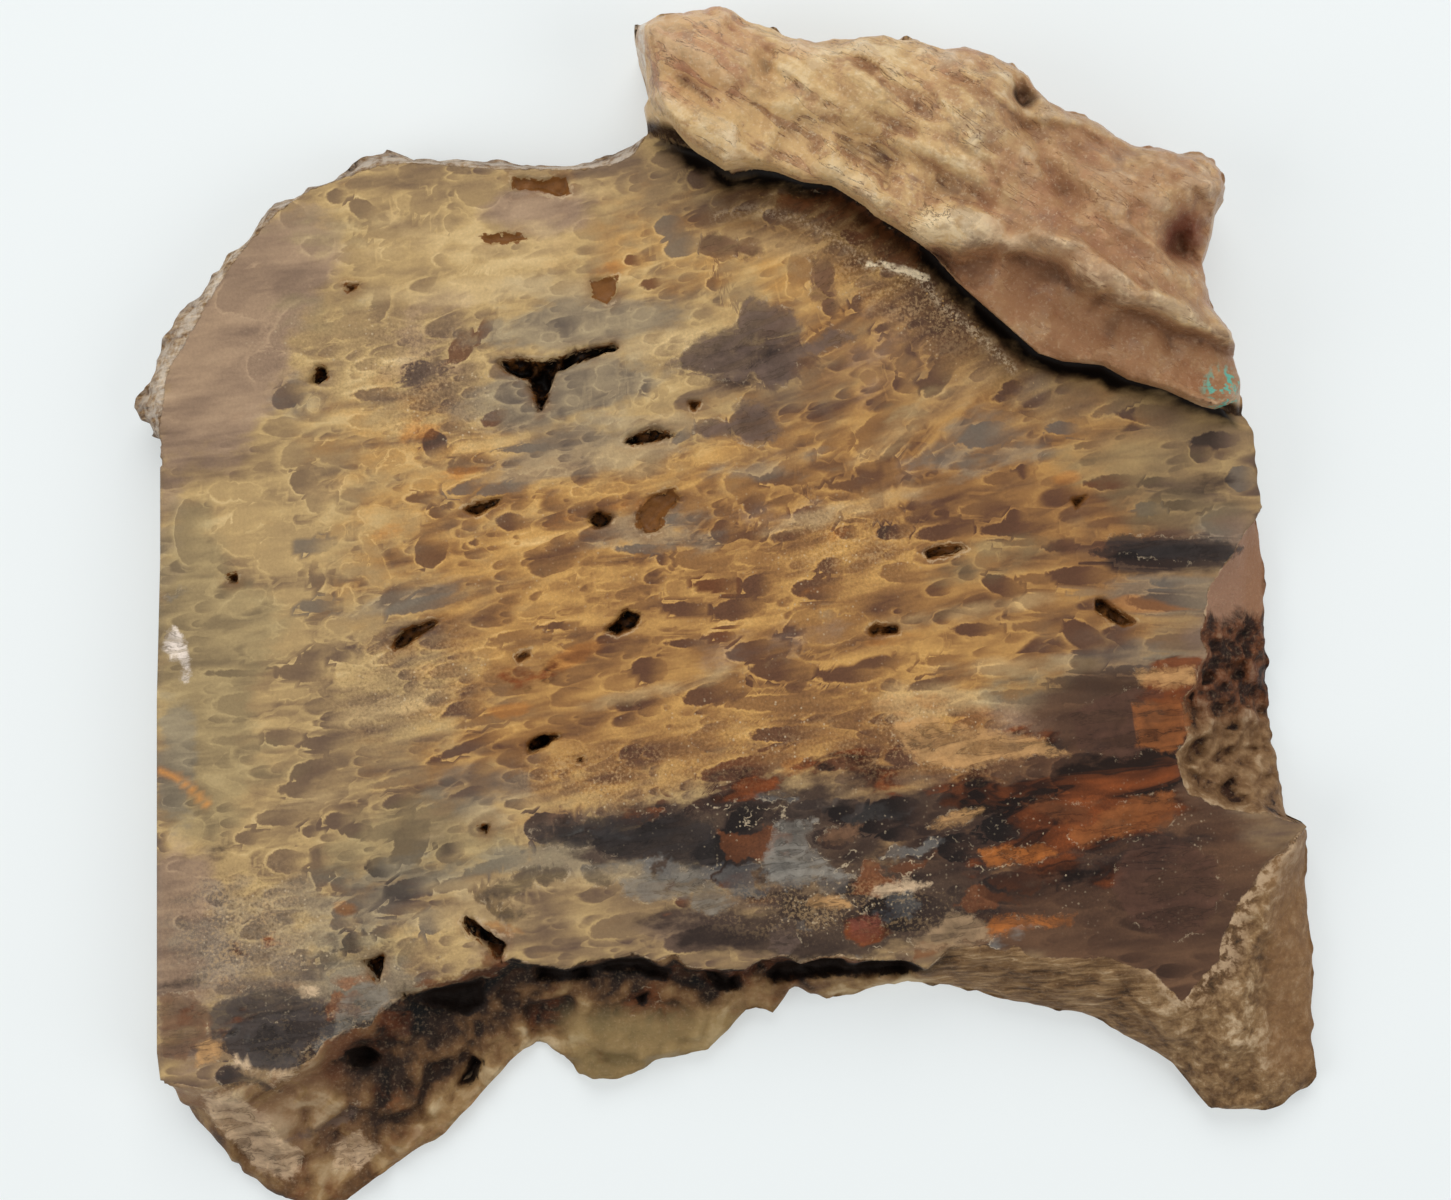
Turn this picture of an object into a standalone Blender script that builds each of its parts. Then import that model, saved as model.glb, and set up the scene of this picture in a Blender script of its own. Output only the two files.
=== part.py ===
"""A rough slab of agatized fossil coral, sawn flat on its front, its back and its left side.

The slab lies on its back. X is its width, Y its height as seen from the front and Z its thickness,
with the origin at the middle of the back. A natural ridge of stone stands above the sawn face at
the upper right, a thin broken shelf hangs below the face at the lower left, and a wedge is broken
out of the right side. Lengths are in millimetres until the mesh is written in metres.
"""

import bmesh
import bpy
import numpy as np

MM = 0.001
NAME = "coral_slab"

FACE_HEIGHT = 12.0  # the sawn face above the sawn back
SHELF_HEIGHT = 7.5  # the broken shelf, where it leaves the sawn face
SHELF_EDGE_HEIGHT = 3.2
RIND_EDGE_HEIGHT = 4.0  # the natural rind at the lower right
NOTCH_EDGE_HEIGHT = 4.0  # the broken wedge on the right side
RIDGE_FOOT_HEIGHT = 16.0
RIDGE_CREST_HEIGHT = 24.0
RIDGE_OUTER_HEIGHT = 11.0
TIER_DROP = 4.5  # the ridge's lower tier under its upper one
GROOVE_DEPTH = 2.5  # the saw's groove along the foot of the ridge
CREVICE_DEPTH = 3.0
MIDDLE = (18.4, 1.9)  # a point from which the whole outline is in sight

CELLS = 200  # divisions of the block across the slab
ROWS = 7  # divisions of the block through its thickness
KEPT_SHARE = 0.056  # of the block's triangles, after the flat areas are simplified

# The outline as seen from above, clockwise from the lower left corner, in four sides
LEFT_SIDE = [
    (-83, -74), (-84.5, -69.5), (-85, -65.5), (-85, -13), (-84.5, 24.5), (-86.5, 26.5), (-88.5, 29),
    (-89.5, 31), (-87.5, 33.5), (-86, 36.5), (-85, 40), (-82.5, 45), (-78.5, 49), (-74.5, 54), (-70, 59),
]
UPPER_SIDE = [
    (-68, 61), (-63, 63.5), (-56.5, 66.5), (-51, 69.5), (-47, 68), (-41.5, 68), (-29, 67), (-17.5, 68.5),
    (-12, 71.5), (-12.5, 75), (-12, 78.5), (-14, 83), (-14, 86.5), (-11, 88), (-6.5, 89), (-1.5, 90),
    (3, 88), (9.5, 85.5), (18.5, 85.5), (29, 85), (37.5, 84), (42.5, 81.5), (48, 76), (53.5, 74),
    (58, 71), (62, 69.5), (70, 68.5),
]
RIGHT_SIDE = [
    (74, 64), (73.5, 61), (72, 54.5), (71, 52), (72, 46), (76, 38.5), (76.5, 29.5), (78.5, 23),
    (80, 14), (81.5, 6.5), (82, -5.5), (83, -19), (85, -30.5), (88, -33), (88, -40), (89, -54.5),
]
LOWER_SIDE = [
    (89.5, -70.5), (87, -73), (82.5, -75.5), (73.5, -75.5), (71, -71), (63.5, -66), (57, -62), (48, -60),
    (38, -57.5), (27.5, -56), (18, -58), (15.5, -59), (10.5, -57), (7, -60.5), (3, -60), (-3, -66.5),
    (-11, -68.5), (-16.5, -71), (-22.5, -70.5), (-25, -67.5), (-29, -65.5), (-33, -68), (-36, -72),
    (-41.5, -77), (-44.5, -80.5), (-51, -84.5), (-55.5, -88), (-61.5, -90), (-70, -88), (-74, -85.5),
    (-80.5, -77.5),
]
OUTLINE = LEFT_SIDE + UPPER_SIDE + RIGHT_SIDE + LOWER_SIDE

# Lines on the upper side, where the sawn face meets natural or broken stone
RIND_LINE = [
    (-84.5, 20), (-84.5, 28), (-83.5, 35.5), (-80.5, 40.5), (-77.5, 46), (-74, 51.5), (-70.5, 56),
    (-66.5, 60), (-62, 63), (-57.5, 64.5), (-52.5, 66.5), (-41.5, 66.5), (-34, 66), (-22, 66), (-14, 68),
    (-12, 71.5),
]
RIDGE_FOOT = [
    (-12, 71.5), (-6.5, 68.5), (0, 64.5), (7.5, 64.5), (15.5, 62.5), (21, 58.5), (29.5, 53), (41.5, 41.5),
    (45.5, 38), (50, 36.5), (59, 34), (70, 30), (78, 29.5),
]
NOTCH_LINE = [
    (79.5, 16), (76, 10), (74, 7), (71, 0.5), (71, -5.5), (68.5, -13), (67, -21), (69.5, -27.5),
    (73, -29), (83.5, -31), (90, -32),
]
LOWER_LINE = [
    (-90, -70), (-69, -70), (-59, -64), (-53, -61.5), (-50.5, -58), (-41.5, -55), (-32, -51), (-23, -52.5),
    (-7.5, -51.5), (3, -52.5), (6, -51), (17, -51.5), (29.5, -52.5), (32.5, -50.5), (47.5, -51), (59, -52),
    (68, -57.5), (72, -52), (76.5, -42.5), (80, -37), (90, -32),
]
UPPER_CREASE = [(-13, 80), (-3, 75.5), (2, 74.5), (6.5, 72), (18, 69), (29, 64.5), (37, 59), (40, 55.5)]
TIER_LINE = [
    (22, 58), (33, 56), (42.5, 52.5), (51.5, 48), (57, 45), (66, 41.5), (70.5, 40.5), (80, 38),
]
CREVICES = [
    [(-50, -58.5), (-41.5, -56.5), (-37, -55.5)],
    [(-30, -53.5), (-19, -53.5), (-9.5, -52), (-3, -55.5), (6.5, -55.5), (11, -53), (29.5, -53.5)],
]

# Hollows in the sawn face: the depth of each, then its corners
VUGS = [
    (5.0, [(-34, 37.5), (-27, 37.5), (-17, 40), (-25.5, 36), (-28, 30), (-29.5, 34.5), (-33, 36)]),
    (4.0, [(-15.5, 25.5), (-11, 27.5), (-7.5, 26.5), (-14.5, 25)]),
    (2.5, [(-13.5, 15), (-11, 17.5), (-8, 18.5), (-7, 17), (-10, 12.5), (-12, 11.5)]),
    (3.0, [(-21, 14), (-19, 15.5), (-17, 14.5), (-18.5, 12.5)]),
    (3.0, [(-39.5, 15.5), (-34, 17), (-34.5, 15.5), (-38.5, 14)]),
    (3.0, [(29.5, 9), (35, 10.5), (35, 9), (30, 8)]),
    (3.0, [(55, 2.5), (58, 1), (61, -1.5), (59, -2.5), (55, 0.5)]),
    (3.5, [(-18, -2.5), (-15, 0.5), (-13, -0.5), (-16.5, -3.5)]),
    (3.0, [(-50, -5), (-48.5, -2.5), (-42.5, -1), (-48, -5.5)]),
    (4.0, [(-30, -19.5), (-25, -18), (-26.5, -20.5), (-29.5, -21.5)]),
    (4.0, [(-54, -52), (-51, -51), (-52, -55.5)]),
    (4.0, [(-39.5, -45.5), (-36.5, -46.5), (-33, -49.5), (-34, -52), (-39, -47.5)]),
]

# Rounded lumps on the ridge: middle, radii, added height
RIDGE_LUMPS = [
    ((-4, 80), (11, 8), 2.5), ((20, 78), (10, 6), 1.5), ((24, 64), (6, 4), 1.5), ((38, 70), (8, 10), 1.5),
    ((55, 60), (9, 7), 1.5), ((67, 61), (8, 8), 2.0), ((60, 48), (8, 4), 1.5), ((8, 71), (8, 3), 1.0),
]


def smooth_step(low, high, value):
    """0 below low, 1 above high and a soft ramp between them."""
    share = np.clip((value - low) / (high - low), 0, 1)
    return share * share * (3 - 2 * share)


def hills(x, y, size, seed):
    """Smooth random relief between -1 and 1, with about one hill for each size millimetres."""
    lattice = np.random.default_rng(seed).uniform(-1, 1, (97, 97))
    column, row = x / size, y / size
    left, low = np.floor(column).astype(int), np.floor(row).astype(int)
    across, up = smooth_step(0, 1, column - left), smooth_step(0, 1, row - low)
    corner = [[lattice[(left + i) % 97, (low + j) % 97] for i in (0, 1)] for j in (0, 1)]
    lower = corner[0][0] + (corner[0][1] - corner[0][0]) * across
    upper = corner[1][0] + (corner[1][1] - corner[1][0]) * across
    return lower + (upper - lower) * up


def line_distance(x, y, line):
    """Distance from each point to the nearest place on a line through the given corners."""
    nearest = np.full(x.shape, np.inf)
    for (ax, ay), (bx, by) in zip(line, line[1:]):
        dx, dy = bx - ax, by - ay
        share = np.clip(((x - ax) * dx + (y - ay) * dy) / (dx * dx + dy * dy), 0, 1)
        nearest = np.minimum(nearest, np.hypot(x - ax - share * dx, y - ay - share * dy))
    return nearest


def inside(x, y, corners):
    """Whether each point lies within a polygon."""
    within = np.zeros(x.shape, bool)
    for (ax, ay), (bx, by) in zip(corners, corners[1:] + corners[:1]):
        if ay != by:
            within ^= ((ay > y) != (by > y)) & (x < ax + (bx - ax) * (y - ay) / (by - ay))
    return within


def along(corners, share):
    """Points at the given shares of the length of a line."""
    corners = np.array(corners, float)
    length = np.concatenate([[0], np.cumsum(np.hypot(*np.diff(corners, axis=0).T))])
    place = share * length[-1]
    return np.interp(place, length, corners[:, 0]), np.interp(place, length, corners[:, 1])


def rim_points(s, t):
    """The outline's point for each place on the rim of the square from -1 to 1."""
    x, y = np.zeros(s.shape), np.zeros(s.shape)
    sides = [
        (LEFT_SIDE + UPPER_SIDE[:1], s <= -1, t),
        (UPPER_SIDE + RIGHT_SIDE[:1], (t >= 1) & (s > -1), s),
        (RIGHT_SIDE + LOWER_SIDE[:1], (s >= 1) & (t < 1), -t),
        (LOWER_SIDE + LEFT_SIDE[:1], (t <= -1) & (s > -1) & (s < 1), -s),
    ]
    for corners, chosen, place in sides:
        x[chosen], y[chosen] = along(corners, (place[chosen] + 1) / 2)
    return x, y


def share_outwards(x, y, line, to_outline):
    """0 on a line, 1 on the outline."""
    from_line = line_distance(x, y, line)
    return from_line / np.maximum(from_line + to_outline, 1e-6)


def ridge_height(x, y, share):
    """The natural ridge: a steep front, two tiers with creases, lumps and a rounded outer side."""
    places = [0, 0.07, 0.2, 0.42, 0.66, 0.86, 0.95, 1]
    crest = RIDGE_CREST_HEIGHT
    heights = [RIDGE_FOOT_HEIGHT, 18.5, 21, crest - 0.5, crest - 1, 20, 16.5, RIDGE_OUTER_HEIGHT]
    z = np.interp(share, places, heights)
    lower_tier = inside(x, y, TIER_LINE + [(90, 20), (22, 20)])
    to_tier = np.where(lower_tier, 1, -1) * line_distance(x, y, TIER_LINE)
    z -= TIER_DROP * smooth_step(-1, 2, to_tier) * smooth_step(24, 34, x)
    z -= 1.8 * np.exp(-((line_distance(x, y, UPPER_CREASE) / 1.6) ** 2))
    for (cx, cy), (rx, ry), rise in RIDGE_LUMPS:
        z += rise * np.exp(-(((x - cx) / rx) ** 2) - ((y - cy) / ry) ** 2)
    return z + 1.1 * hills(x, y, 7, 1) + 0.7 * hills(x, y, 3.5, 2)


def lower_height(x, y, share):
    """The stone below the sawn face: a broken shelf on the left, a rind that slopes away on the right."""
    step = FACE_HEIGHT - SHELF_HEIGHT
    shelf = FACE_HEIGHT - step * smooth_step(-76, -58, x) * smooth_step(0, 0.12, share)
    shelf += (SHELF_EDGE_HEIGHT - shelf) * share**1.2
    shelf += 1.2 * hills(x, y, 9, 3) + 0.6 * hills(x, y, 4, 4)
    rind = FACE_HEIGHT + (RIND_EDGE_HEIGHT - FACE_HEIGHT) * share**1.5
    rind += (0.9 * hills(x, y, 6, 5) + 0.4 * hills(x, y, 3, 6)) * smooth_step(0, 0.3, share)
    return shelf + (rind - shelf) * smooth_step(26, 36, x)


def upper_height(x, y):
    """Height of the slab's upper side over each point of its back."""
    to_outline = line_distance(x, y, OUTLINE + OUTLINE[:1])
    z = np.full(x.shape, FACE_HEIGHT)

    rind = inside(x, y, RIND_LINE + [(-12, 110), (-110, 110), (-110, 20)])
    share = share_outwards(x, y, RIND_LINE, to_outline)
    z[rind] -= (3.5 * share**1.3 * (1 + 0.4 * hills(x, y, 4, 7)))[rind]

    notch = inside(x, y, NOTCH_LINE + [(110, -32), (110, 16)])
    share = share_outwards(x, y, NOTCH_LINE, to_outline)
    drop = (FACE_HEIGHT - NOTCH_EDGE_HEIGHT) * share**0.9
    drop += (1.3 * hills(x, y, 5, 8) + 1) * smooth_step(0, 0.2, share) * smooth_step(2, -6, y)
    z[notch] -= drop[notch]

    lower = inside(x, y, LOWER_LINE + [(110, -110), (-110, -110)])
    share = share_outwards(x, y, LOWER_LINE, to_outline)
    z[lower] = lower_height(x, y, share)[lower]

    ridge = inside(x, y, RIDGE_FOOT + [(110, 29.5), (110, 110), (-30, 110), (-30, 71.5)])
    share = share_outwards(x, y, RIDGE_FOOT, to_outline)
    z[ridge] = ridge_height(x, y, share)[ridge]

    groove = np.exp(-((line_distance(x, y, RIDGE_FOOT) / 1.3) ** 2))
    z[~ridge] -= (GROOVE_DEPTH * groove * smooth_step(-14, -4, x))[~ridge]
    for line in CREVICES:
        z -= CREVICE_DEPTH * np.exp(-((line_distance(x, y, line) / 1.5) ** 2))
    for depth, corners in VUGS:
        away = line_distance(x, y, corners + corners[:1])
        away[inside(x, y, corners)] *= -1
        z -= depth * smooth_step(0.7, -0.5, away)
    return z


def undercut(x, y, down):
    """How far the side leans inwards, from the rim above (down 0) to the back (down 1)."""
    sawn = smooth_step(-83, -84, x) * smooth_step(26, 22, y) * smooth_step(-76, -70, y)
    lean = 1.6 + 1.0 * hills(x + 3 * down, y, 11, 9) + 0.9 * hills(x, y + 40 * down, 5, 10)
    return (1 - sawn) * down * np.maximum(lean, 0.2)


def slab_points(points):
    """Moves the points of a block from -1 to 1 onto the slab."""
    s, t, v = points.T
    ring = np.maximum(np.abs(s), np.abs(t))
    scale = np.where(ring > 0, ring, 1)
    rim_x, rim_y = rim_points(np.round(s / scale, 6), np.round(t / scale, 6))
    down = (1 - v) / 2
    reach_x, reach_y = rim_x - MIDDLE[0], rim_y - MIDDLE[1]
    length = np.hypot(reach_x, reach_y)
    kept = ring * (1 - undercut(rim_x, rim_y, down) / np.maximum(length, 1))
    x, y = MIDDLE[0] + reach_x * kept, MIDDLE[1] + reach_y * kept
    top_x, top_y = MIDDLE[0] + reach_x * ring, MIDDLE[1] + reach_y * ring
    z = (1 - down) * upper_height(top_x, top_y)
    return np.stack([x, y, z], axis=1)


def block():
    """A finely divided block from -1 to 1."""
    mesh = bpy.data.meshes.new(NAME)
    work = bmesh.new()
    bmesh.ops.create_cube(work, size=2)
    for axis, cuts in ((2, ROWS - 1), (0, CELLS - 1), (1, CELLS - 1)):
        edges = [e for e in work.edges if abs(e.verts[0].co[axis] - e.verts[1].co[axis]) > 1]
        bmesh.ops.subdivide_edges(work, edges=edges, cuts=cuts, use_grid_fill=True)
    work.to_mesh(mesh)
    work.free()
    return mesh


def stone_material():
    material = bpy.data.materials.new("agatized_coral")
    material.use_nodes = True
    shader = material.node_tree.nodes["Principled BSDF"]
    shader.inputs["Base Color"].default_value = (0.32, 0.16, 0.06, 1)
    shader.inputs["Roughness"].default_value = 0.35
    shader.inputs["Metallic"].default_value = 0
    return material


def coral_slab(collection):
    """The whole stone, one solid."""
    mesh = block()
    points = np.empty(len(mesh.vertices) * 3)
    mesh.vertices.foreach_get("co", points)
    mesh.vertices.foreach_set("co", (slab_points(points.reshape(-1, 3)) * MM).ravel())
    mesh.materials.append(stone_material())
    mesh.shade_smooth()
    slab = bpy.data.objects.new(NAME, mesh)
    collection.objects.link(slab)
    simplify = slab.modifiers.new("simplify", "DECIMATE")
    simplify.ratio = KEPT_SHARE
    return slab


def main():
    for thing in list(bpy.data.objects):
        bpy.data.objects.remove(thing)
    collection = bpy.data.collections.new("fossil_coral_slab")
    bpy.context.scene.collection.children.link(collection)
    coral_slab(collection)


main()
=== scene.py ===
import math

import bpy
import numpy as np
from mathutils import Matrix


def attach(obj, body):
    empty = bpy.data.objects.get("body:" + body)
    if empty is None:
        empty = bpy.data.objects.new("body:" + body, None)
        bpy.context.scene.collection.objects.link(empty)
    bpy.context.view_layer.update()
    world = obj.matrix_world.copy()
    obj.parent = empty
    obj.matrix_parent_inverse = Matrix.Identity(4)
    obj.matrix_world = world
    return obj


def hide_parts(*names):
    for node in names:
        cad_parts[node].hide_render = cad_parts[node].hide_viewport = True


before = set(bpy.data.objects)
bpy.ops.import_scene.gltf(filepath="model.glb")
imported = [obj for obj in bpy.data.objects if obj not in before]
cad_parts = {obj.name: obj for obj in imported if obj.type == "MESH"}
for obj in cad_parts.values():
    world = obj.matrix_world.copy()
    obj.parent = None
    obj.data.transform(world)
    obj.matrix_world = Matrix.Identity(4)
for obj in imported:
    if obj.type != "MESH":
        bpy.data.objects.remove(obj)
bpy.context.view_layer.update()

mm = 0.001  # every length below is in millimetres until a mesh is written

# The stone's heights above its sawn back, and how finely its surface is divided
slab = {
    "face": 12.0,  # the sawn face
    "shelf": 7.5,  # the broken shelf where it leaves the face
    "shelfEdge": 3.2,
    "rindEdge": 4.0,
    "notchEdge": 4.0,
    "ridgeFoot": 16.0,
    "ridgeCrest": 24.0,
    "ridgeOuter": 11.0,
    "tierDrop": 4.5,
    "creviceDepth": 3.5,
    "wornEdge": 0.5,  # how much the rim is worn down all round
    "middle": (18.4, 1.9),  # a point from which the whole outline is in sight
    "coarseCells": 192,  # across the slab, where the surface is flat
    "fineSplit": 2,  # each coarse cell's side is split in this many where there is relief
    "wallRows": 8,
    "backCells": 64,
    "backInset": 0.985,
}

# The outline from above, clockwise from the lower left corner, read off
leftSide = [
    (-83, -74), (-84, -71.5), (-84.5, -69.5), (-85, -65.5), (-85, -52), (-85, -35.5), (-85, -13),
    (-84.5, 8), (-84.5, 24.5), (-85, 26), (-86.5, 26.5), (-87, 28.5), (-88.5, 29), (-89.5, 31),
    (-89, 32.5), (-87.5, 33.5), (-86, 36.5), (-86, 38), (-85, 40), (-83.5, 42.5), (-82.5, 45),
    (-80.5, 46.5), (-78.5, 49), (-77.5, 50.5), (-74.5, 54), (-72, 56), (-70, 59),
]
upperSide = [
    (-68, 61), (-64.5, 62), (-63, 63.5), (-59, 65), (-56.5, 66.5), (-54, 68.5), (-51, 69.5),
    (-48.5, 69), (-47, 68), (-41.5, 68), (-34, 68), (-29, 67), (-22, 67.5), (-17.5, 68.5),
    (-14, 70.5), (-12, 71.5), (-12, 73), (-12.4, 75), (-11.7, 76.5), (-12.1, 78.5), (-12.7, 81),
    (-13.3, 83), (-13.7, 84.5), (-13.6, 86.5), (-11, 88), (-6.5, 89), (-3.5, 89.5), (-1.5, 90), (1, 89.5),
    (3, 88), (6.5, 87), (9.5, 85.5), (13, 85), (15.5, 85.5), (18.5, 85.5), (23, 86), (25.5, 85.5),
    (29, 85), (31.5, 84), (35, 84.5), (37.5, 84), (40, 83), (42.5, 81.5), (44.5, 80), (46.5, 77.5),
    (48, 76), (49.5, 75.5), (53.5, 74), (56.5, 72.5), (58, 71), (60, 70), (62, 69.5), (64.5, 69.5),
    (67, 68.5), (70, 68.5),
]
rightSide = [
    (72, 67.5), (73.5, 66), (74, 64), (73.5, 61), (72.5, 59), (72.5, 57.5), (72, 54.5), (71, 52),
    (71.5, 49.5), (72, 46), (73.5, 43), (74.5, 41.5), (76, 38.5), (76.5, 35.5), (76.5, 29.5),
    (78, 27.5), (78.5, 23), (79.5, 17), (80, 14), (81, 11), (81.5, 6.5), (81.5, 2), (82, -5.5),
    (82.5, -11.5), (83, -19), (84, -23.5), (84.5, -27.5), (85, -30.5), (86.5, -32), (88, -33),
    (88, -37), (88, -40), (88.5, -47), (89, -54.5), (89, -59.5), (89, -65.5),
]
lowerSide = [
    (89.5, -70.5), (88.5, -72), (87, -73), (84.5, -74.5), (82.5, -75.5), (78, -75.5), (73.5, -75.5),
    (72, -73.8), (70.3, -71.6), (67.8, -68.5), (63.5, -66), (60.5, -64.5), (57, -62), (54, -61), (48, -60),
    (43, -59), (38, -57.5), (32.5, -56.5), (27.5, -56), (24.5, -56.5), (21, -57.5), (18, -58),
    (15.5, -59), (12.5, -58), (10.5, -57), (9.5, -57.5), (8.5, -59), (7, -60.5), (5.5, -60), (3, -60),
    (1.5, -62), (-0.5, -64), (-3, -66.5), (-5.5, -67), (-7.5, -68), (-11, -68.5), (-12.5, -69.5),
    (-14.5, -70.5), (-16.5, -71), (-21, -71), (-22.5, -70.5), (-23.5, -69), (-25, -67.5), (-27.5, -66),
    (-29, -65.5), (-31, -66.5), (-32.8, -68), (-34.5, -70), (-36.4, -72), (-39, -75), (-41, -77),
    (-42.8, -79), (-44.5, -80.5), (-47, -81.5), (-48.5, -82.5), (-51, -84.5), (-53, -85.5),
    (-54.5, -86.8), (-56, -88), (-58, -89.5), (-61.5, -90), (-64.5, -89.5), (-67.5, -89), (-70, -88),
    (-72, -86.5), (-74, -85.5), (-77, -81.5), (-80.5, -77.5), (-82, -75),
]
outline = leftSide + upperSide + rightSide + lowerSide

# Lines where the sawn face meets natural or broken stone
rindLine = [
    (-84.5, 20), (-84.5, 28), (-83.5, 35.5), (-80.5, 40.5), (-77.5, 46), (-74, 51.5), (-70.5, 56),
    (-66.5, 60), (-62, 63), (-57.5, 64.5), (-52.5, 66.5), (-47, 67), (-41.5, 66.5), (-34, 66),
    (-22, 66), (-17.5, 66.5), (-14, 68), (-12, 71.5),
]
ridgeFoot = [
    (-12, 71.5), (-9.5, 70), (-6.5, 68.5), (-3, 66.5), (0, 64.5), (4, 65), (7.5, 64.5), (11.5, 63),
    (15.5, 62.5), (19.5, 60), (21, 58.5), (24.5, 56.5), (27.5, 54.5), (29.5, 53), (33, 49), (37.5, 45),
    (41.5, 41.5), (45.5, 38), (50, 36.5), (55.5, 36), (59, 34), (64.5, 32.5), (70, 30), (74, 29),
    (78, 29.5),
]
notchLine = [
    (81.5, 17), (79, 14), (76, 10), (74, 7), (72.5, 4), (71, 0.5), (71, -5.5), (70, -9.5), (68.5, -13),
    (68.5, -17.5), (67, -21), (68, -24.5), (69.5, -27.5), (73, -29), (79.5, -30), (83.5, -31),
    (90, -31.5),
]
lowerLine = [
    (-90, -70), (-76, -70.5), (-69, -70), (-66.5, -68.5), (-63.5, -67), (-59, -64), (-53, -61.5),
    (-50.5, -58), (-45.5, -56), (-41.5, -55), (-37, -53), (-32, -51), (-28, -52.5), (-23, -52.5),
    (-14, -51), (-7.5, -51.5), (-2.5, -53), (3, -52.5), (6, -51), (11, -52.5), (17, -51.5),
    (22.5, -51.5), (26.5, -51.5), (29.5, -52.5), (32.5, -50.5), (37.5, -49.5), (42.5, -50),
    (47.5, -51), (54, -51), (59, -52), (63, -53), (65.5, -55.5), (68, -57.5), (69.5, -55.5), (72, -52),
    (74.5, -47.5), (76.5, -42.5), (80, -37), (85, -33.5), (90, -31.5),
]
upperCrease = [
    (-13, 80), (-10.5, 78.5), (-5.5, 76.5), (-3, 75.5), (2, 74.5), (6.5, 72), (13, 70.5), (18, 69),
    (24.5, 66), (29, 64.5), (33, 62), (37, 59), (40, 55.5),
]
tierLine = [
    (22, 58), (28.5, 57), (33, 56), (39.5, 54), (42.5, 52.5), (46.5, 51), (51.5, 48), (57, 45),
    (61.5, 43), (66, 41.5), (70.5, 40.5), (80, 38),
]
hollowLine = [(43, 76), (43.5, 72), (45, 67.5), (47.5, 63), (50, 59)]
spurLine = [(84, -35), (79.5, -45), (77, -54), (75.5, -64)]
crevices = [
    [(-49.5, -56.8), (-43, -56), (-36.9, -55.2), (-36.5, -59), (-39.1, -60.8), (-44.5, -59),
     (-48.1, -57.8)],
    [(-29, -53), (-20.7, -53), (-16.3, -51.6), (-12.4, -51.4), (-8.4, -53.4), (-8.8, -55.2), (-11.6, -54.9),
     (-13.4, -53.7), (-19.9, -53.9), (-21.4, -55), (-26.4, -55.4), (-28.6, -55)],
    [(-3.3, -54.3), (2.1, -55), (1.7, -57), (-1.2, -56.8)],
    [(5.9, -54.6), (7.6, -52.8), (12, -51.6), (17.3, -51.9), (17.7, -53), (23.4, -52.2), (30.3, -53),
     (27.3, -54.6), (19.9, -54.8), (12, -55), (6.8, -55.9)],
    [(-14.5, -58.3), (-12, -57.6), (-12.7, -59.4)],
    [(-40.7, -71.9), (-38.9, -67.9), (-37.3, -68.5), (-38.9, -71.6)],
    [(-57.4, -65.8), (-54, -65.8), (-52.5, -67.3), (-54.6, -68.9), (-57.1, -68.2)],
]
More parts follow.
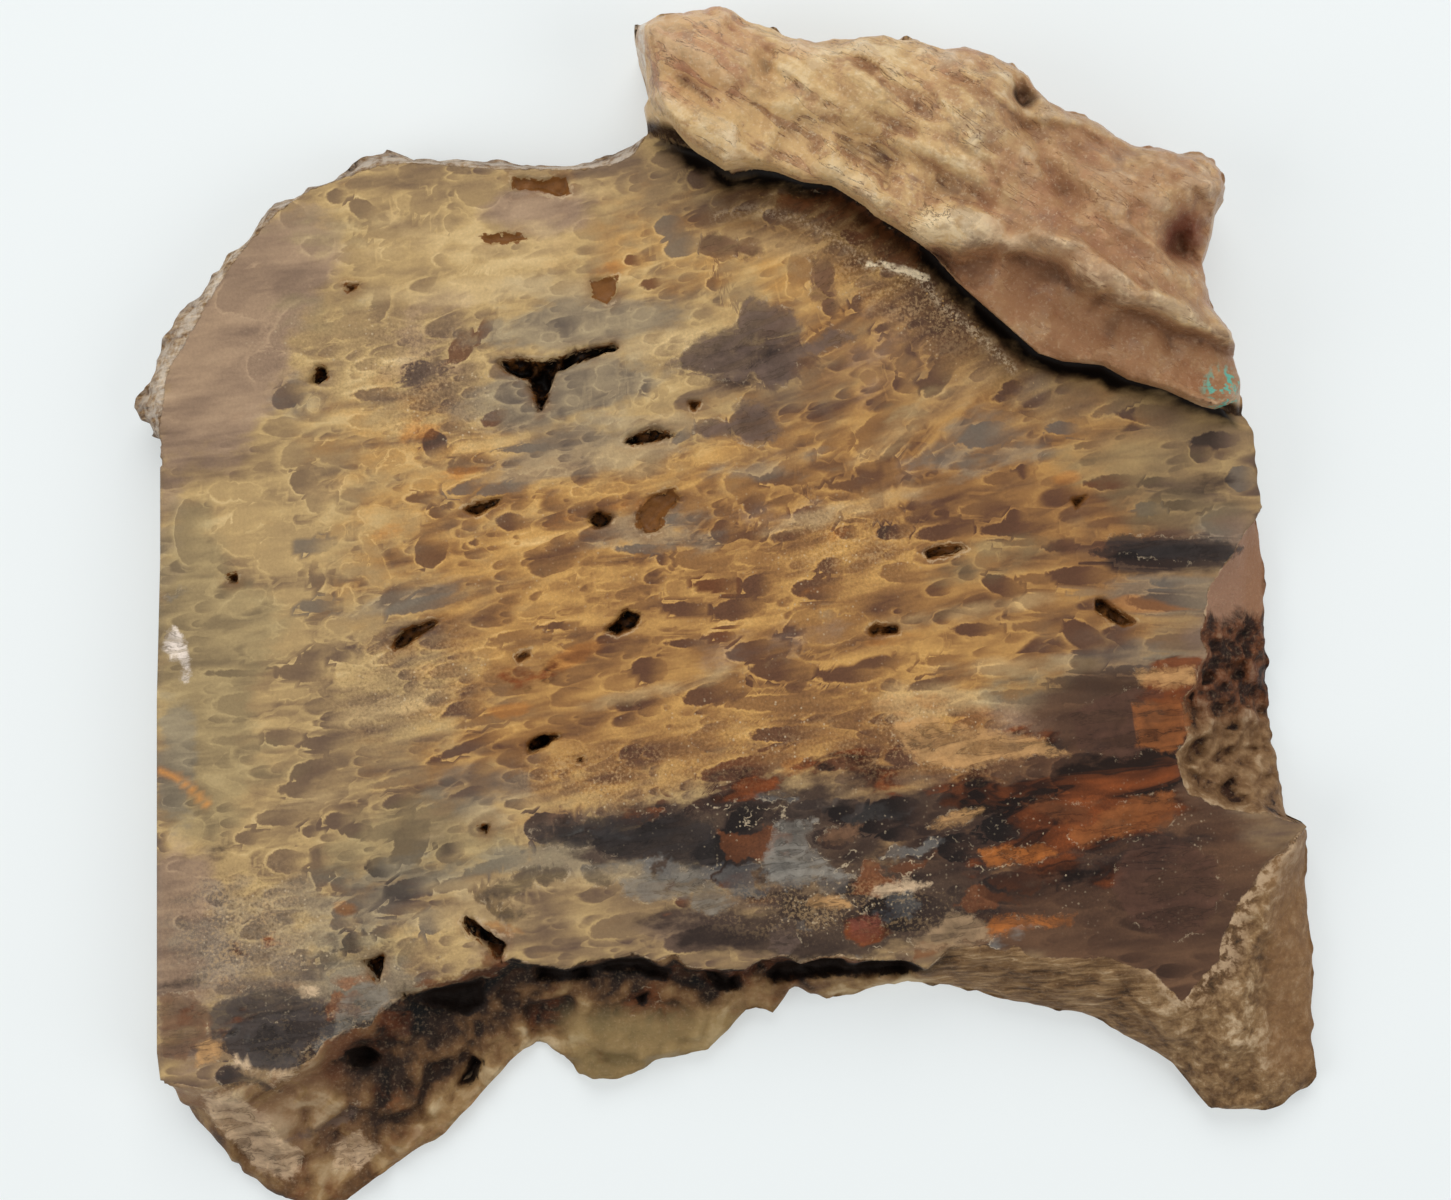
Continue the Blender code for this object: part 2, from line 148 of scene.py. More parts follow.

# Patches of one colour, read off: the colour's name, then the corners
patches = [
    ("dusk", [(-9.2, 37.1), (-6.8, 38.1), (-5.8, 40.1), (-1.7, 41.9), (1.7, 43.6), (2, 45.6), (4.1, 47.7),
              (6.1, 46), (9.2, 45.3), (11.3, 42.5), (10.9, 40.5), (13, 40.5), (15.4, 42.5), (19.5, 41.2),
              (18.8, 40.5), (14.3, 38.9), (11.6, 38.4), (9.6, 36.4), (8.5, 33.7), (5.8, 34), (4.8, 35.7),
              (1.4, 34.3), (-1.4, 34.7), (-4.8, 36.2)]),
    ("brown", [(-4.6, 55.2), (-3.1, 56.4), (-0.3, 56.5), (1.4, 54.8), (5.1, 54.2), (4.8, 53.1), (3.1, 52.6),
               (0.7, 53.3), (-1.4, 53.1), (-3.8, 53.8)]),
    ("dusk", [(-4.8, 27.5), (-2.7, 28.9), (0.7, 28.5), (1.4, 31.9), (4.1, 31.6), (6.1, 30.2), (8.2, 27.5),
              (7.2, 25.5), (4.1, 25.1), (2, 25.8), (0, 26.5), (-3.1, 26.1)]),
    ("brown", [(12.6, 52.8), (15, 53.1), (16.4, 48), (16.4, 45.3), (15, 44.2), (14, 46), (12.6, 46.6)]),
    ("umber", [(6.1, 61.7), (16.4, 61.3), (21.2, 57.9), (26.6, 54.5), (28.7, 51.8), (27.7, 50.4),
               (23.2, 52.4), (19.8, 54.8), (16.1, 57.6), (10.9, 59.3), (7.5, 60.6)]),
    ("smoke", [(-74.7, -64), (-73.8, -62.2), (-70.7, -59.7), (-63.2, -59.1), (-58.6, -59.7), (-58.3, -62.5),
               (-63.2, -64.9), (-64.1, -67.6), (-67.4, -68.5), (-70.4, -67.9), (-72.3, -66.1),
               (-74.4, -65.2)]),
    ("smoke", [(-78, -60), (-73, -56.5), (-66, -55.5), (-60, -57.5), (-64, -60.5), (-72, -62),
               (-76.5, -63.5)]),
    ("brown", [(-84.5, -57), (-80, -56.5), (-77, -59.5), (-77.5, -63), (-81, -66.5), (-84.5, -66)]),
    ("slate", [(-58.6, -59.7), (-57.1, -56.4), (-54, -54.9), (-51, -55.8), (-49.8, -57.3), (-51.6, -59.1),
               (-55.3, -61.6), (-58.3, -62.8)]),
    ("night", [(-76.2, -69.2), (-74.1, -67.3), (-72.3, -68.2), (-70.4, -69.2), (-68, -70.1), (-67.4, -71.3),
               (-70.7, -70.2), (-74.4, -70.5)]),
    ("gold", [(-78.9, -64), (-77.1, -63.4), (-75, -64), (-75, -65.5), (-76.8, -67), (-78.6, -67.6),
              (-79.2, -65.8)]),
    ("cream", [(-63.5, -55.2), (-60.4, -55.8), (-60.7, -57.3), (-63.5, -57.3)]),
    ("cream", [(-73.2, -65.8), (-70.1, -68.2), (-71, -68.5), (-72.9, -67)]),
    ("cream", [(-68.6, -69.2), (-67.4, -68.2), (-64.1, -68.5), (-64.4, -69.5), (-67.4, -70.1)]),
    ("crust", [(-79, -71.5), (-73, -72), (-69.5, -75), (-67.5, -79), (-64, -82), (-66, -86), (-71, -85),
               (-74.5, -81), (-78.5, -75)]),
    ("crust", [(-60, -80.5), (-56, -79), (-53, -81.5), (-56, -85), (-60, -84.5)]),
    ("cocoa", [(60, -34), (66, -33), (72, -36), (74, -41), (71, -47), (66, -49), (60, -46), (57, -40)]),
    ("dusk", [(-59.2, -76.1), (-55.3, -74), (-56.5, -76.6), (-63.2, -79.6), (-67.4, -79.9), (-63, -78)]),
    ("night", [(-28.6, -34.1), (-30, -32.3), (-20, -30.6), (-8, -29.6), (-2, -31), (-1.9, -37.7),
               (-4.8, -38.4), (-10.2, -36.3), (-17.8, -36.3), (-18.5, -35), (-26.4, -34.7)]),
    ("shadow", [(-36.9, -42.4), (-34.7, -40.3), (-30, -37.7), (-26.4, -37.4), (-23.2, -38.4),
                (-24.3, -39.9), (-28.6, -40.6), (-31.5, -42.1), (-34.7, -43.5), (-36.5, -43.1)]),
    ("shadow", [(-21.7, -38.4), (-19.9, -37.7), (-17.1, -39.5), (-17.8, -41), (-20.7, -40.3)]),
    ("shadow", [(-34.5, -44.9), (-32.9, -44.2), (-29.3, -44.6), (-30.8, -45.7), (-33.3, -45.8)]),
    ("slate", [(-16.3, -39.5), (-9.8, -39.2), (-4.1, -38.4), (-1.2, -41.3), (1.7, -43.1), (-1.9, -44.9),
               (-5.2, -44.2), (-5.5, -42.4), (-12, -42.8), (-15.6, -42.1)]),
    ("cream", [(-37.4, -45.5), (-36.2, -46.2), (-34.4, -47.6), (-31.5, -48), (-33.6, -48.5), (-35.4, -47.6),
               (-37.1, -46.7)]),
    ("rust", [(-47.3, -55.6), (-44.5, -54.3), (-39.4, -54), (-36.9, -52.5), (-35.8, -50), (-33.6, -50.4),
              (-32.9, -52.5), (-35.4, -54.5), (-39.1, -55), (-44.5, -55.8)]),
    ("rust", [(-16.3, -59), (-12.7, -56.8), (-10.2, -57.6), (-10.9, -59.7), (-14.5, -61.2)]),
    ("milk", [(7.2, -31), (13.3, -31), (11.6, -33.2), (12, -35.4), (14.6, -36.7), (16.4, -38.4),
              (19.9, -39.1), (16.4, -39.6), (9.8, -39.9), (5.9, -39.9), (5.5, -36.2), (6.6, -33.6)]),
    ("cream", [(21.2, -42.3), (22.1, -40.8), (26, -39.9), (30.3, -40.2), (29, -41.2), (25.1, -41.7),
               (22.5, -42.1)]),
    ("brick", [(18.1, -45.8), (22.5, -45), (23.4, -47.1), (20.7, -49.1), (18.1, -48.2)]),
    ("dusk", [(6.6, -47.1), (9.8, -46.9), (10.7, -49.3), (9, -50.9), (6.1, -49.8)]),
    ("gold", [(11.6, -43.2), (13.8, -42.1), (17.3, -42.3), (18.6, -43.7), (16.4, -44.1), (12.9, -43.9)]),
    ("brown", [(13.3, -33.6), (16.4, -31.9), (19.9, -31.4), (19, -34), (15.5, -34.7)]),
    ("amber", [(37.3, -35.4), (40.8, -34.7), (46.1, -34.5), (50.4, -35.4), (46.1, -36.9), (40.4, -37.8),
               (38.2, -37.5)]),
    ("amber", [(39.1, -45.4), (46.9, -45.2), (51.7, -45), (51.3, -46.3), (44.8, -46.7), (40.8, -48),
               (39.1, -47.6)]),
    ("tan", [(27.3, -48.9), (31.7, -46.3), (33.8, -44.5), (38.2, -45.8), (39.1, -48.5), (33.8, -49.8),
             (29.5, -50.6)]),
    ("gold", [(29.9, -31.9), (33.4, -29.7), (38.2, -29.2), (36, -31), (31.2, -32.3)]),
    ("flame", [(50.9, -31.9), (55.7, -29.7), (60, -27.5), (66.1, -26.6), (67.4, -29.2), (65.3, -31.9),
               (60, -32.7), (55.7, -33.6), (52.6, -34.9), (51.3, -33.6)]),
    ("rust", [(43.4, -28.4), (46.9, -27.5), (52.2, -28.4), (55.2, -30.6), (53.9, -31.9), (50.4, -31.4),
              (46.1, -29.7)]),
    ("gold", [(60, -8.6), (69.3, -8), (69.9, -10.7), (62.3, -11.3)]),
    ("cocoa", [(57, -12), (63, -11), (68, -14), (66, -19), (59, -22), (52, -20), (51, -15)]),
    ("flame", [(60, -13.5), (66.9, -12.4), (69.5, -16.4), (66.9, -21), (61.2, -19.8)]),
    ("gold", [(23.9, -17), (29.1, -15.2), (34.9, -17), (41.7, -18.1), (46.2, -18.6), (50.9, -21),
              (41.7, -21.6), (36, -23.2), (27.9, -22.1)]),
    ("night", [(57, 11.5), (74, 11), (77, 9.5), (74, 7.5), (64, 8), (56, 9.5)]),
    ("slate", [(-83.7, 2.4), (-82.5, 2.9), (-81.1, 3.8), (-80, 3.6), (-80.8, 2.9), (-82.1, 2.2),
               (-83.2, 1.95)]),
    ("chalk", [(-82.2, -2), (-80.9, -3.9), (-80.2, -6.7), (-79.9, -8.5), (-80.4, -10.6), (-81.3, -10.2),
               (-80.7, -8.5), (-80.9, -7), (-82, -6.4), (-82.9, -6.8), (-83.2, -5.6), (-83.7, -5.6),
               (-83.7, -4.1), (-83.2, -2.7)]),
]

# Hollows in the sawn face: the depth of each, then its corners
vugs = [
    (5.0, [(-34, 37.5), (-31, 38), (-27, 37.5), (-22.5, 39), (-17, 40), (-16.5, 39.5), (-22, 37.5),
           (-25.5, 36), (-26.5, 34), (-27, 31.5), (-28, 30), (-29, 32.5), (-29.5, 34.5), (-33, 36)]),
    (4.0, [(-15.5, 25.5), (-13, 27), (-11, 27.5), (-7.5, 26.5), (-11, 25.5), (-14.5, 25)]),
    (3.0, [(-39.5, 15.5), (-37, 16.5), (-34, 17), (-34.5, 16), (-37.5, 14.5), (-39, 15)]),
    (3.5, [(-20.5, 14.5), (-19, 15), (-17, 14.5), (-18, 13), (-19.5, 12.5), (-20.5, 13.5)]),
    (1.8, [(-13.5, 15), (-11, 17.5), (-8, 18.5), (-7, 17), (-9.5, 14.5), (-10, 12.5), (-12, 11.5),
           (-13.5, 13)]),
    (2.5, [(29.5, 9), (31.5, 10), (35, 10), (35.5, 9.5), (32.5, 8.5), (30, 8)]),
    (3.0, [(55, 2), (56, 2), (58, 0.5), (61, -1.5), (59, -2), (56, -0.5), (55, 0.5)]),
    (3.0, [(21, -2.5), (22, -1.5), (23.5, -2), (25.5, -2), (25.5, -3), (21.5, -3.5)]),
    (4.0, [(-18, -2.5), (-16.5, -1), (-15, 0.5), (-13, -0.5), (-13.5, -2), (-16.5, -3.5)]),
    (3.0, [(-50, -5), (-48.5, -2.5), (-45.5, -1.5), (-42.5, -1), (-45, -3), (-48, -5), (-49.5, -5.5)]),
    (4.5, [(-30, -19.5), (-28.5, -18.5), (-25.5, -18), (-25, -18.5), (-27, -20), (-29.5, -21)]),
    (3.5, [(-62, 34.5), (-61, 37), (-60, 36.5), (-59.5, 35), (-61, 34)]),
    (0.8, [(-20.5, 49.5), (-16.5, 50), (-16.5, 47.5), (-18, 46), (-20, 47)]),
    (0.9, [(-37, 56), (-34.5, 56.5), (-31, 56.5), (-29.5, 55.5), (-33, 55), (-36, 55)]),
    (1.2, [(-32, 65), (-28, 64.5), (-24, 65), (-23.5, 62.5), (-25, 62), (-28.5, 63), (-32, 63)]),
    (4.0, [(-54, -52), (-52.5, -51.5), (-51, -51), (-51.5, -53), (-52, -55), (-52.5, -55)]),
    (4.5, [(-39.5, -45.5), (-38.5, -45.5), (-36.5, -47), (-33, -49.5), (-34, -52), (-36, -49.5),
           (-39, -47.5)]),
    (2.5, [(-74.5, 5.5), (-73, 6), (-73, 4.5), (-74, 4.5)]),
    (2.5, [(-22.5, -22), (-21.5, -21.5), (-21.5, -22.5)]),
    (2.0, [(-57, 49), (-55, 49), (-55.5, 48), (-56.5, 47.5)]),
    (2.5, [(-6, 31.5), (-4, 31.5), (-5, 30)]),
    (2.0, [(51, 17), (53.5, 17.5), (53, 16.5), (52, 15.5)]),
    (2.5, [(-37, -32), (-35.5, -31.5), (-36, -33)]),
    (1.5, [(-31.5, -6.5), (-29.5, -5.5), (-29.5, -6.5), (-31, -7.5)]),
]

# Rounded lumps and dips on the ridge: middle, radii, added height
ridgeLumps = [
    ((-4, 80), (11, 8), 2.5), ((20, 78), (10, 6), 1.5), ((24, 64), (6, 4), 1.5), ((38, 70), (8, 10), 1.5),
    ((55, 60), (9, 7), 1.5), ((67, 61), (8, 8), 2.0), ((60, 48), (8, 4), 1.5), ((8, 71), (8, 3), 1.0),
    ((66, 55), (3, 4), -3.5), ((67, 55), (2.2, 2.8), -2.5), ((5.5, 79.5), (1.6, 3.5), -2.5),
    ((43.2, 75.5), (1.5, 1.5), -3.0),  # a small dark hollow
]


# Colour as a screen shows it, 0 to 255, as the shader wants it
def paint(red, green, blue):
    share = [c / 255 for c in (red, green, blue)]
    return [c / 12.92 if c <= 0.04045 else ((c + 0.055) / 1.055) ** 2.4 for c in share] + [1]


patchColours = {
    "brown": paint(108, 78, 56), "umber": paint(88, 50, 25), "night": paint(44, 38, 36),
    "slate": paint(118, 110, 98), "gold": paint(176, 134, 86), "cream": paint(198, 170, 136),
    "shadow": paint(80, 66, 52), "rust": paint(98, 56, 30), "milk": paint(130, 124, 114),
    "brick": paint(112, 60, 46), "amber": paint(158, 92, 40), "tan": paint(146, 120, 90),
    "flame": paint(130, 76, 38), "chalk": paint(228, 214, 202), "crust": paint(190, 162, 130),
    "cocoa": paint(78, 52, 40), "smoke": paint(66, 58, 54), "dusk": paint(94, 76, 66),
}


# 0 below low, 1 above high, a soft ramp between
def softStep(low, high, value):
    share = np.clip((value - low) / (high - low), 0, 1)
    return share * share * (3 - 2 * share)


# 1 in the middle, falling softly away on both sides
def bell(value, width):
    return np.exp(-((value / width) ** 2))


# Random heights on a lattice of the given size, joined by soft ramps: -1 to 1
def hills(x, y, size, seed):
    lattice = np.random.default_rng(seed).uniform(-1, 1, (97, 97))
    column, row = x / size, y / size
    left, low = np.floor(column).astype(int), np.floor(row).astype(int)
    across, up = softStep(0, 1, column - left), softStep(0, 1, row - low)
    corner = [[lattice[(left + i) % 97, (low + j) % 97] for i in (0, 1)] for j in (0, 1)]
    lower = corner[0][0] + (corner[0][1] - corner[0][0]) * across
    upper = corner[1][0] + (corner[1][1] - corner[1][0]) * across
    return lower + (upper - lower) * up


# Hills on hills, each half the size and height of the last
def relief(x, y, size, layers, seed):
    total = np.zeros(x.shape)
    for layer in range(layers):
        turn = 0.7 * layer
        u, v = x * math.cos(turn) - y * math.sin(turn), x * math.sin(turn) + y * math.cos(turn)
        total += hills(u, v, size / 2**layer, seed + layer) / 2**layer
    return total


# Distance to the nearest place on a line through the corners
def lineDistance(x, y, line):
    nearest = np.full(x.shape, np.inf)
    for (ax, ay), (bx, by) in zip(line, line[1:]):
        dx, dy = bx - ax, by - ay
        share = np.clip(((x - ax) * dx + (y - ay) * dy) / (dx * dx + dy * dy), 0, 1)
        nearest = np.minimum(nearest, np.hypot(x - ax - share * dx, y - ay - share * dy))
    return nearest


# Whether each point lies within a polygon: an odd number of its sides lie to the right
def inside(x, y, corners):
    within = np.zeros(x.shape, bool)
    for (ax, ay), (bx, by) in zip(corners, corners[1:] + corners[:1]):
        if ay != by:
            within ^= ((ay > y) != (by > y)) & (x < ax + (bx - ax) * (y - ay) / (by - ay))
    return within


# Distance to a polygon's border, negative inside it
def edgeDistance(x, y, corners):
    away = lineDistance(x, y, corners + corners[:1])
    return np.where(inside(x, y, corners), -away, away)


# Points at the given shares of a line's length
def along(corners, share):
    corners = np.array(corners, float)
    length = np.concatenate([[0], np.cumsum(np.hypot(*np.diff(corners, axis=0).T))])
    place = share * length[-1]
    return np.interp(place, length, corners[:, 0]), np.interp(place, length, corners[:, 1])


# The outline's point for each place on the rim of the square from -1 to 1
def rimPoints(s, t):
    x, y = np.zeros(s.shape), np.zeros(s.shape)
    sides = [
        (leftSide + upperSide[:1], s <= -1, t),
        (upperSide + rightSide[:1], (t >= 1) & (s > -1), s),
        (rightSide + lowerSide[:1], (s >= 1) & (t < 1), -t),
        (lowerSide + leftSide[:1], (t <= -1) & (s > -1) & (s < 1), -s),
    ]
    for corners, chosen, place in sides:
        x[chosen], y[chosen] = along(corners, (place[chosen] + 1) / 2)
    return x, y


# 0 on a line between two zones, 1 on the outline
def shareOutwards(zones, line):
    return zones[line] / np.maximum(zones[line] + zones["toOutline"], 1e-6)


# For each point: distance to a patch's border, negative inside it, and which patch. A later patch
# lies on an earlier one.
def nearestPatch(x, y):
    edge, which = np.full(x.shape, 9.0), np.zeros(x.shape, int)
    for number, (_, corners) in enumerate(patches):
        away = edgeDistance(x, y, corners)
        closer = (away < edge) | (away < 0)
        edge, which = np.where(closer, away, edge), np.where(closer, number, which)
    return edge, which


# Which zone of the upper side each point is in, and how far it is from the lines between them. Corners far
# outside the slab close each zone's line to a polygon. The broken zones' lines are bent by small hills.
def zonesOf(x, y):
    z = {"toOutline": lineDistance(x, y, outline + outline[:1])}
    z["rind"] = inside(x, y, rindLine + [(-12, 110), (-110, 110), (-110, 20)])
    brokenX = x + 0.7 * hills(x, y, 3.1, 61) + 0.2 * hills(x, y, 1.9, 63)
    brokenY = y + 0.7 * hills(x, y, 2.7, 62) + 0.2 * hills(x, y, 1.8, 64)
    z["notch"] = inside(brokenX, brokenY, notchLine + [(110, -31.5), (110, 17)])
    z["lower"] = inside(brokenX, brokenY, lowerLine + [(110, -110), (-110, -110)])
    z["ridge"] = inside(x, y, ridgeFoot + [(110, 29.5), (110, 110), (-30, 110), (-30, 71.5)])
    z["toFoot"] = lineDistance(x, y, ridgeFoot)
    z["toLower"] = lineDistance(brokenX, brokenY, lowerLine)
    z["toNotch"] = lineDistance(brokenX, brokenY, notchLine)
    z["toRind"] = lineDistance(x, y, rindLine)
    z["toVug"] = np.min([edgeDistance(x, y, corners) for _, corners in vugs], axis=0)
    z["toCrevice"] = np.min([edgeDistance(x, y, corners) for corners in crevices], axis=0)
    z["toPatch"], z["patch"] = nearestPatch(x, y)
    return z


# Flat faces with random tilts, joined along soft creases: about -1 to 1
def facets(x, y, size, seed):
    random = np.random.default_rng(seed)
    site, tilt = random.uniform(0.1, 0.9, (2, 61, 61)), random.uniform(-1, 1, (3, 61, 61))
    column, row = np.floor(x / size).astype(int), np.floor(y / size).astype(int)
    total, weight = np.zeros(x.shape), np.zeros(x.shape)
    for i in (-1, 0, 1):
        for j in (-1, 0, 1):
            a, b = (column + i) % 61, (row + j) % 61
            dx, dy = x / size - column - i - site[0][a, b], y / size - row - j - site[1][a, b]
            share = np.exp(-14 * (dx * dx + dy * dy))
            total += share * (0.5 * tilt[0][a, b] + tilt[1][a, b] * dx + tilt[2][a, b] * dy)
            weight += share
    return total / np.maximum(weight, 1e-9)


# Distance to the line between the ridge's tiers, positive on the lower one
def tierDistance(x, y):
    lowerTier = inside(x, y, tierLine + [(90, 20), (22, 20)])
    return np.where(lowerTier, 1, -1) * lineDistance(x, y, tierLine)


# The ridge: a steep front, two tiers with creases between, lumps, broken facets and a rounded outer side
def ridgeHeight(x, y, share):
    crest = slab["ridgeCrest"]
    places = [0, 0.07, 0.2, 0.42, 0.66, 0.86, 0.95, 1]
    heights = [slab["ridgeFoot"], 18.5, 21, crest - 0.5, crest - 1, 20, 16.5, slab["ridgeOuter"]]
    z = np.interp(share, places, heights)
    wobble = 0.8 * hills(x, y, 4, 27)
    toTier = tierDistance(x, y) + wobble
    onTier = softStep(22, 32, x)
    z -= slab["tierDrop"] * softStep(-0.6, 0.8, toTier) * onTier
    z += 1.9 * bell(toTier + 2.4, 2) * onTier  # the upper tier's thick lip
    z += 1.2 * bell(toTier - 6, 3) * onTier  # and the lower tier's
    z -= 2.0 * bell(lineDistance(x, y, upperCrease) + 0.8 * wobble, 1.7)
    z -= 2.0 * bell(lineDistance(x, y, hollowLine) + wobble, 1.8)
    for (cx, cy), (rx, ry), rise in ridgeLumps:
        z += rise * bell(x - cx, rx) * bell(y - cy, ry)
    along, across = x * 0.85 - y * 0.52, x * 0.52 + y * 0.85  # along the ridge and across it
    z += 1.5 * facets(along / 2.6, across, 5.5, 21) + 0.65 * facets(along / 2.2, across, 3.0, 22)
    z += 0.6 * hills(x, y, 9, 1) + 0.25 * hills(along / 2, across, 2.2, 2) + 0.25 * facets(x, y, 1.9, 23)
    front = softStep(0.02, 0.12, share) * softStep(0.5, 0.3, share)
    z += 0.75 * front * hills(along + across, across / 3, 4.5, 28)  # folds down the front
    outerCrust = softStep(0.72, 0.9, share)
    z += (0.12 + 0.5 * outerCrust) * (relief(x, y, 1.7, 2, 25) - 0.3)
    return z + 0.07 * hills(x, y, 0.9, 26)


# Below the sawn face: a broken shelf on the left, a rind that slopes away on the right
def lowerHeight(x, y, share):
    face = slab["face"]
    step = face - slab["shelf"]
    shelf = face - step * softStep(-76, -58, x) * softStep(0, 0.2, share)
    shelf += (slab["shelfEdge"] - shelf) * share**1.2
    shelf += 1.0 * hills(x, y, 9, 3) + 0.4 * hills(x, y, 4, 4)
    lumps = 1.6 * facets(x, y, 7.5, 31) + 0.8 * facets(x, y, 3.4, 32) + 0.3 * relief(x, y, 1.8, 3, 36)
    shelf += lumps * softStep(0, 0.12, share)
    rind = face + (slab["rindEdge"] - face) * share**1.5
    spur = bell(lineDistance(x, y, spurLine), 2.2)
    rough = 0.8 * facets(x, y, 8, 5) + 0.35 * relief(x, y, 2.6, 3, 6)
    fibres = hills(share * 9 + 0.25 * hills(x, y, 4, 33), x * 0.12, 0.5, 34)
    rind += (rough + 0.22 * fibres * softStep(72, 62, x)) * softStep(0, 0.3, share) + 1.6 * spur
    return shelf + (rind - shelf) * softStep(26, 36, x)


# Height of the upper side over each point, zone by zone
def upperHeight(x, y, zones):
    face = slab["face"]
    z = np.full(x.shape, face)

    rind = zones["rind"]
    slope = 3.5 * shareOutwards(zones, "toRind") ** 1.3
    z[rind] -= (slope * (1 + 0.4 * hills(x, y, 4, 7) + 0.3 * relief(x, y, 1.8, 2, 41)))[rind]

    notch = zones["notch"]
    share = shareOutwards(zones, "toNotch")
    drop = (face - slab["notchEdge"]) * share**0.9
    rugged = 1.2 + 1.6 * facets(x * 1.3, y * 1.3, 5, 8) + 0.9 * facets(x, y * 1.8, 2.6, 42)
    broken = softStep(0, 0.15, share) * softStep(2, -6, y)
    drop += (rugged + 0.4 * relief(x, y, 1.6, 2, 43)) * broken
    z[notch] -= drop[notch]

    lower = zones["lower"]
    z[lower] = lowerHeight(x, y, shareOutwards(zones, "toLower"))[lower]

    ridge = zones["ridge"]
    atEnds = softStep(0, 8, zones["toFoot"] + zones["toOutline"])
    rise = ridgeHeight(x, y, shareOutwards(zones, "toFoot")) - face
    z[ridge] = (face + rise * atEnds)[ridge]

    ragged = 0.5 * hills(x, y, 2.4, 46)
    z -= slab["creviceDepth"] * softStep(0.7, -1.3, zones["toCrevice"] + ragged)
    for depth, corners in vugs:
        away = edgeDistance(x, y, corners) + 0.25 * hills(x, y, 1.3, 47)
        z -= depth * softStep(0.3, -0.4, away) * (1 + 0.3 * hills(x, y, 1.2, 45))
    return z - slab["wornEdge"] * softStep(0.7, 0, zones["toOutline"])


# The saw's groove under the ridge: points near the foot are drawn under its overhanging lip and back.
# Both lists start in front of the foot and end on the ridge: how far in a point lies, and its height.
groove = {
    "from": [-4.0, -2.2, -1.0, 0.8, 1.4, 2.0, 2.7, 3.6, 5.0, 8.0],
    "to": [-4.0, -1.6, 0.4, 2.6, 2.8, 1.7, 0.4, 0.4, 1.8, 8.0],
    "rise": [0.0, -0.5, -2.6, -2.2, 0.6, 2.2, 3.0, 4.0, 4.0, 4.0],
    "inward": (0.42, 0.905),
}


def cutGroove(x, y, z, zones):
    into = np.where(zones["ridge"], 1, -1) * zones["toFoot"]
    near = softStep(-12, -3, x) * softStep(0.5, 4, zones["toOutline"]) * (into > -4) * (into < 8)
    depth = 0.45 + 0.9 * bell(x - 1, 9) + 0.6 * bell(x - 44, 14)
    shift = (np.interp(into, groove["from"], groove["to"]) - into) * near
    rise = np.interp(into, groove["from"], groove["rise"])
    low = into < 3.6
    sunk = np.where(rise < 0, rise * depth, rise)
    newZ = np.where(low, slab["face"] + sunk, z)
    z = np.where(near > 0, z + (newZ - z) * near, z)
    return x + groove["inward"][0] * shift, y + groove["inward"][1] * shift, z


# How far the side leans inwards below the rim: 0 at the rim, most at the back
def undercut(x, y, down):
    sawn = softStep(-83, -84, x) * softStep(26, 22, y) * softStep(-76, -70, y)
    lean = 1.6 + hills(x + 3 * down, y, 11, 9) + 0.9 * hills(x, y + 40 * down, 5, 10)
    lean = np.maximum(lean, 0.2) * down
    lean += 0.5 * relief(x + 9 * down, y - 14 * down, 2.5, 3, 51) * np.sin(np.pi * np.minimum(down, 0.95))
    return (1 - sawn) * lean


# Where a point of the square from -1 to 1 lies on the slab: rays from the middle to the outline
def spread(s, t):
    ring = np.maximum(np.abs(s), np.abs(t))
    scale = np.where(ring > 0, ring, 1)
    rimX, rimY = rimPoints(np.round(s / scale, 9), np.round(t / scale, 9))
    cx, cy = slab["middle"]
    reachX, reachY = rimX - cx, rimY - cy
    natural = 1 - softStep(-83.5, -84.3, rimX) * softStep(26, 22, rimY) * softStep(-76, -70, rimY)
    ragged = 0.35 * relief(rimX, rimY, 2.4, 2, 53) * natural / np.maximum(np.hypot(reachX, reachY), 1)
    kept = ring * (1 + ragged * softStep(0.93, 1, ring))
    return cx + reachX * kept, cy + reachY * kept, rimX, rimY


def squareGrid(cells):
    steps = np.linspace(-1, 1, cells + 1)
    s, t = np.meshgrid(steps, steps, indexing="ij")
    return s.ravel(), t.ravel()


# The lattice's rim as one loop of point numbers, clockwise from the corner (-1, -1)
def rimLoop(cells):
    side = np.arange(cells)
    number = lambda i, j: i * (cells + 1) + j
    return np.concatenate([
        number(0 * side, side), number(side, cells + 0 * side),
        number(cells + 0 * side, cells - side), number(cells - side, 0 * side),
    ])


# Polygons of the top: cells with relief are split, and their plain neighbours take in the extra corners
def topPolygons(detail):
    cells, split = slab["coarseCells"], slab["fineSplit"]
    width = cells * split + 1
    i, j = np.nonzero(detail)
    a, b = np.meshgrid(np.arange(split), np.arange(split), indexing="ij")
    fi = (i[:, None] * split + a.ravel()).ravel()
    fj = (j[:, None] * split + b.ravel()).ravel()
    first = fi * width + fj
    quads = np.stack([first, first + width, first + width + 1, first + 1], axis=1)

    i, j = np.nonzero(~detail)
    padded = np.pad(detail, 1)
    steps = [(1, 0, (0, -1)), (0, 1, (1, 0)), (-1, 0, (0, 1)), (0, -1, (-1, 0))]  # round the cell
    pi, pj = i * split, j * split
    corners, kept = [], []
    for di, dj, (ni, nj) in steps:
        beside = padded[i + 1 + ni, j + 1 + nj]
        for k in range(split):
            corners.append((pi + di * k) * width + pj + dj * k)
            kept.append(np.ones(len(i), bool) if k == 0 else beside)
        pi, pj = pi + di * split, pj + dj * split
    corners, kept = np.stack(corners, axis=1), np.stack(kept, axis=1)
    return quads, corners[kept], kept.sum(axis=1)


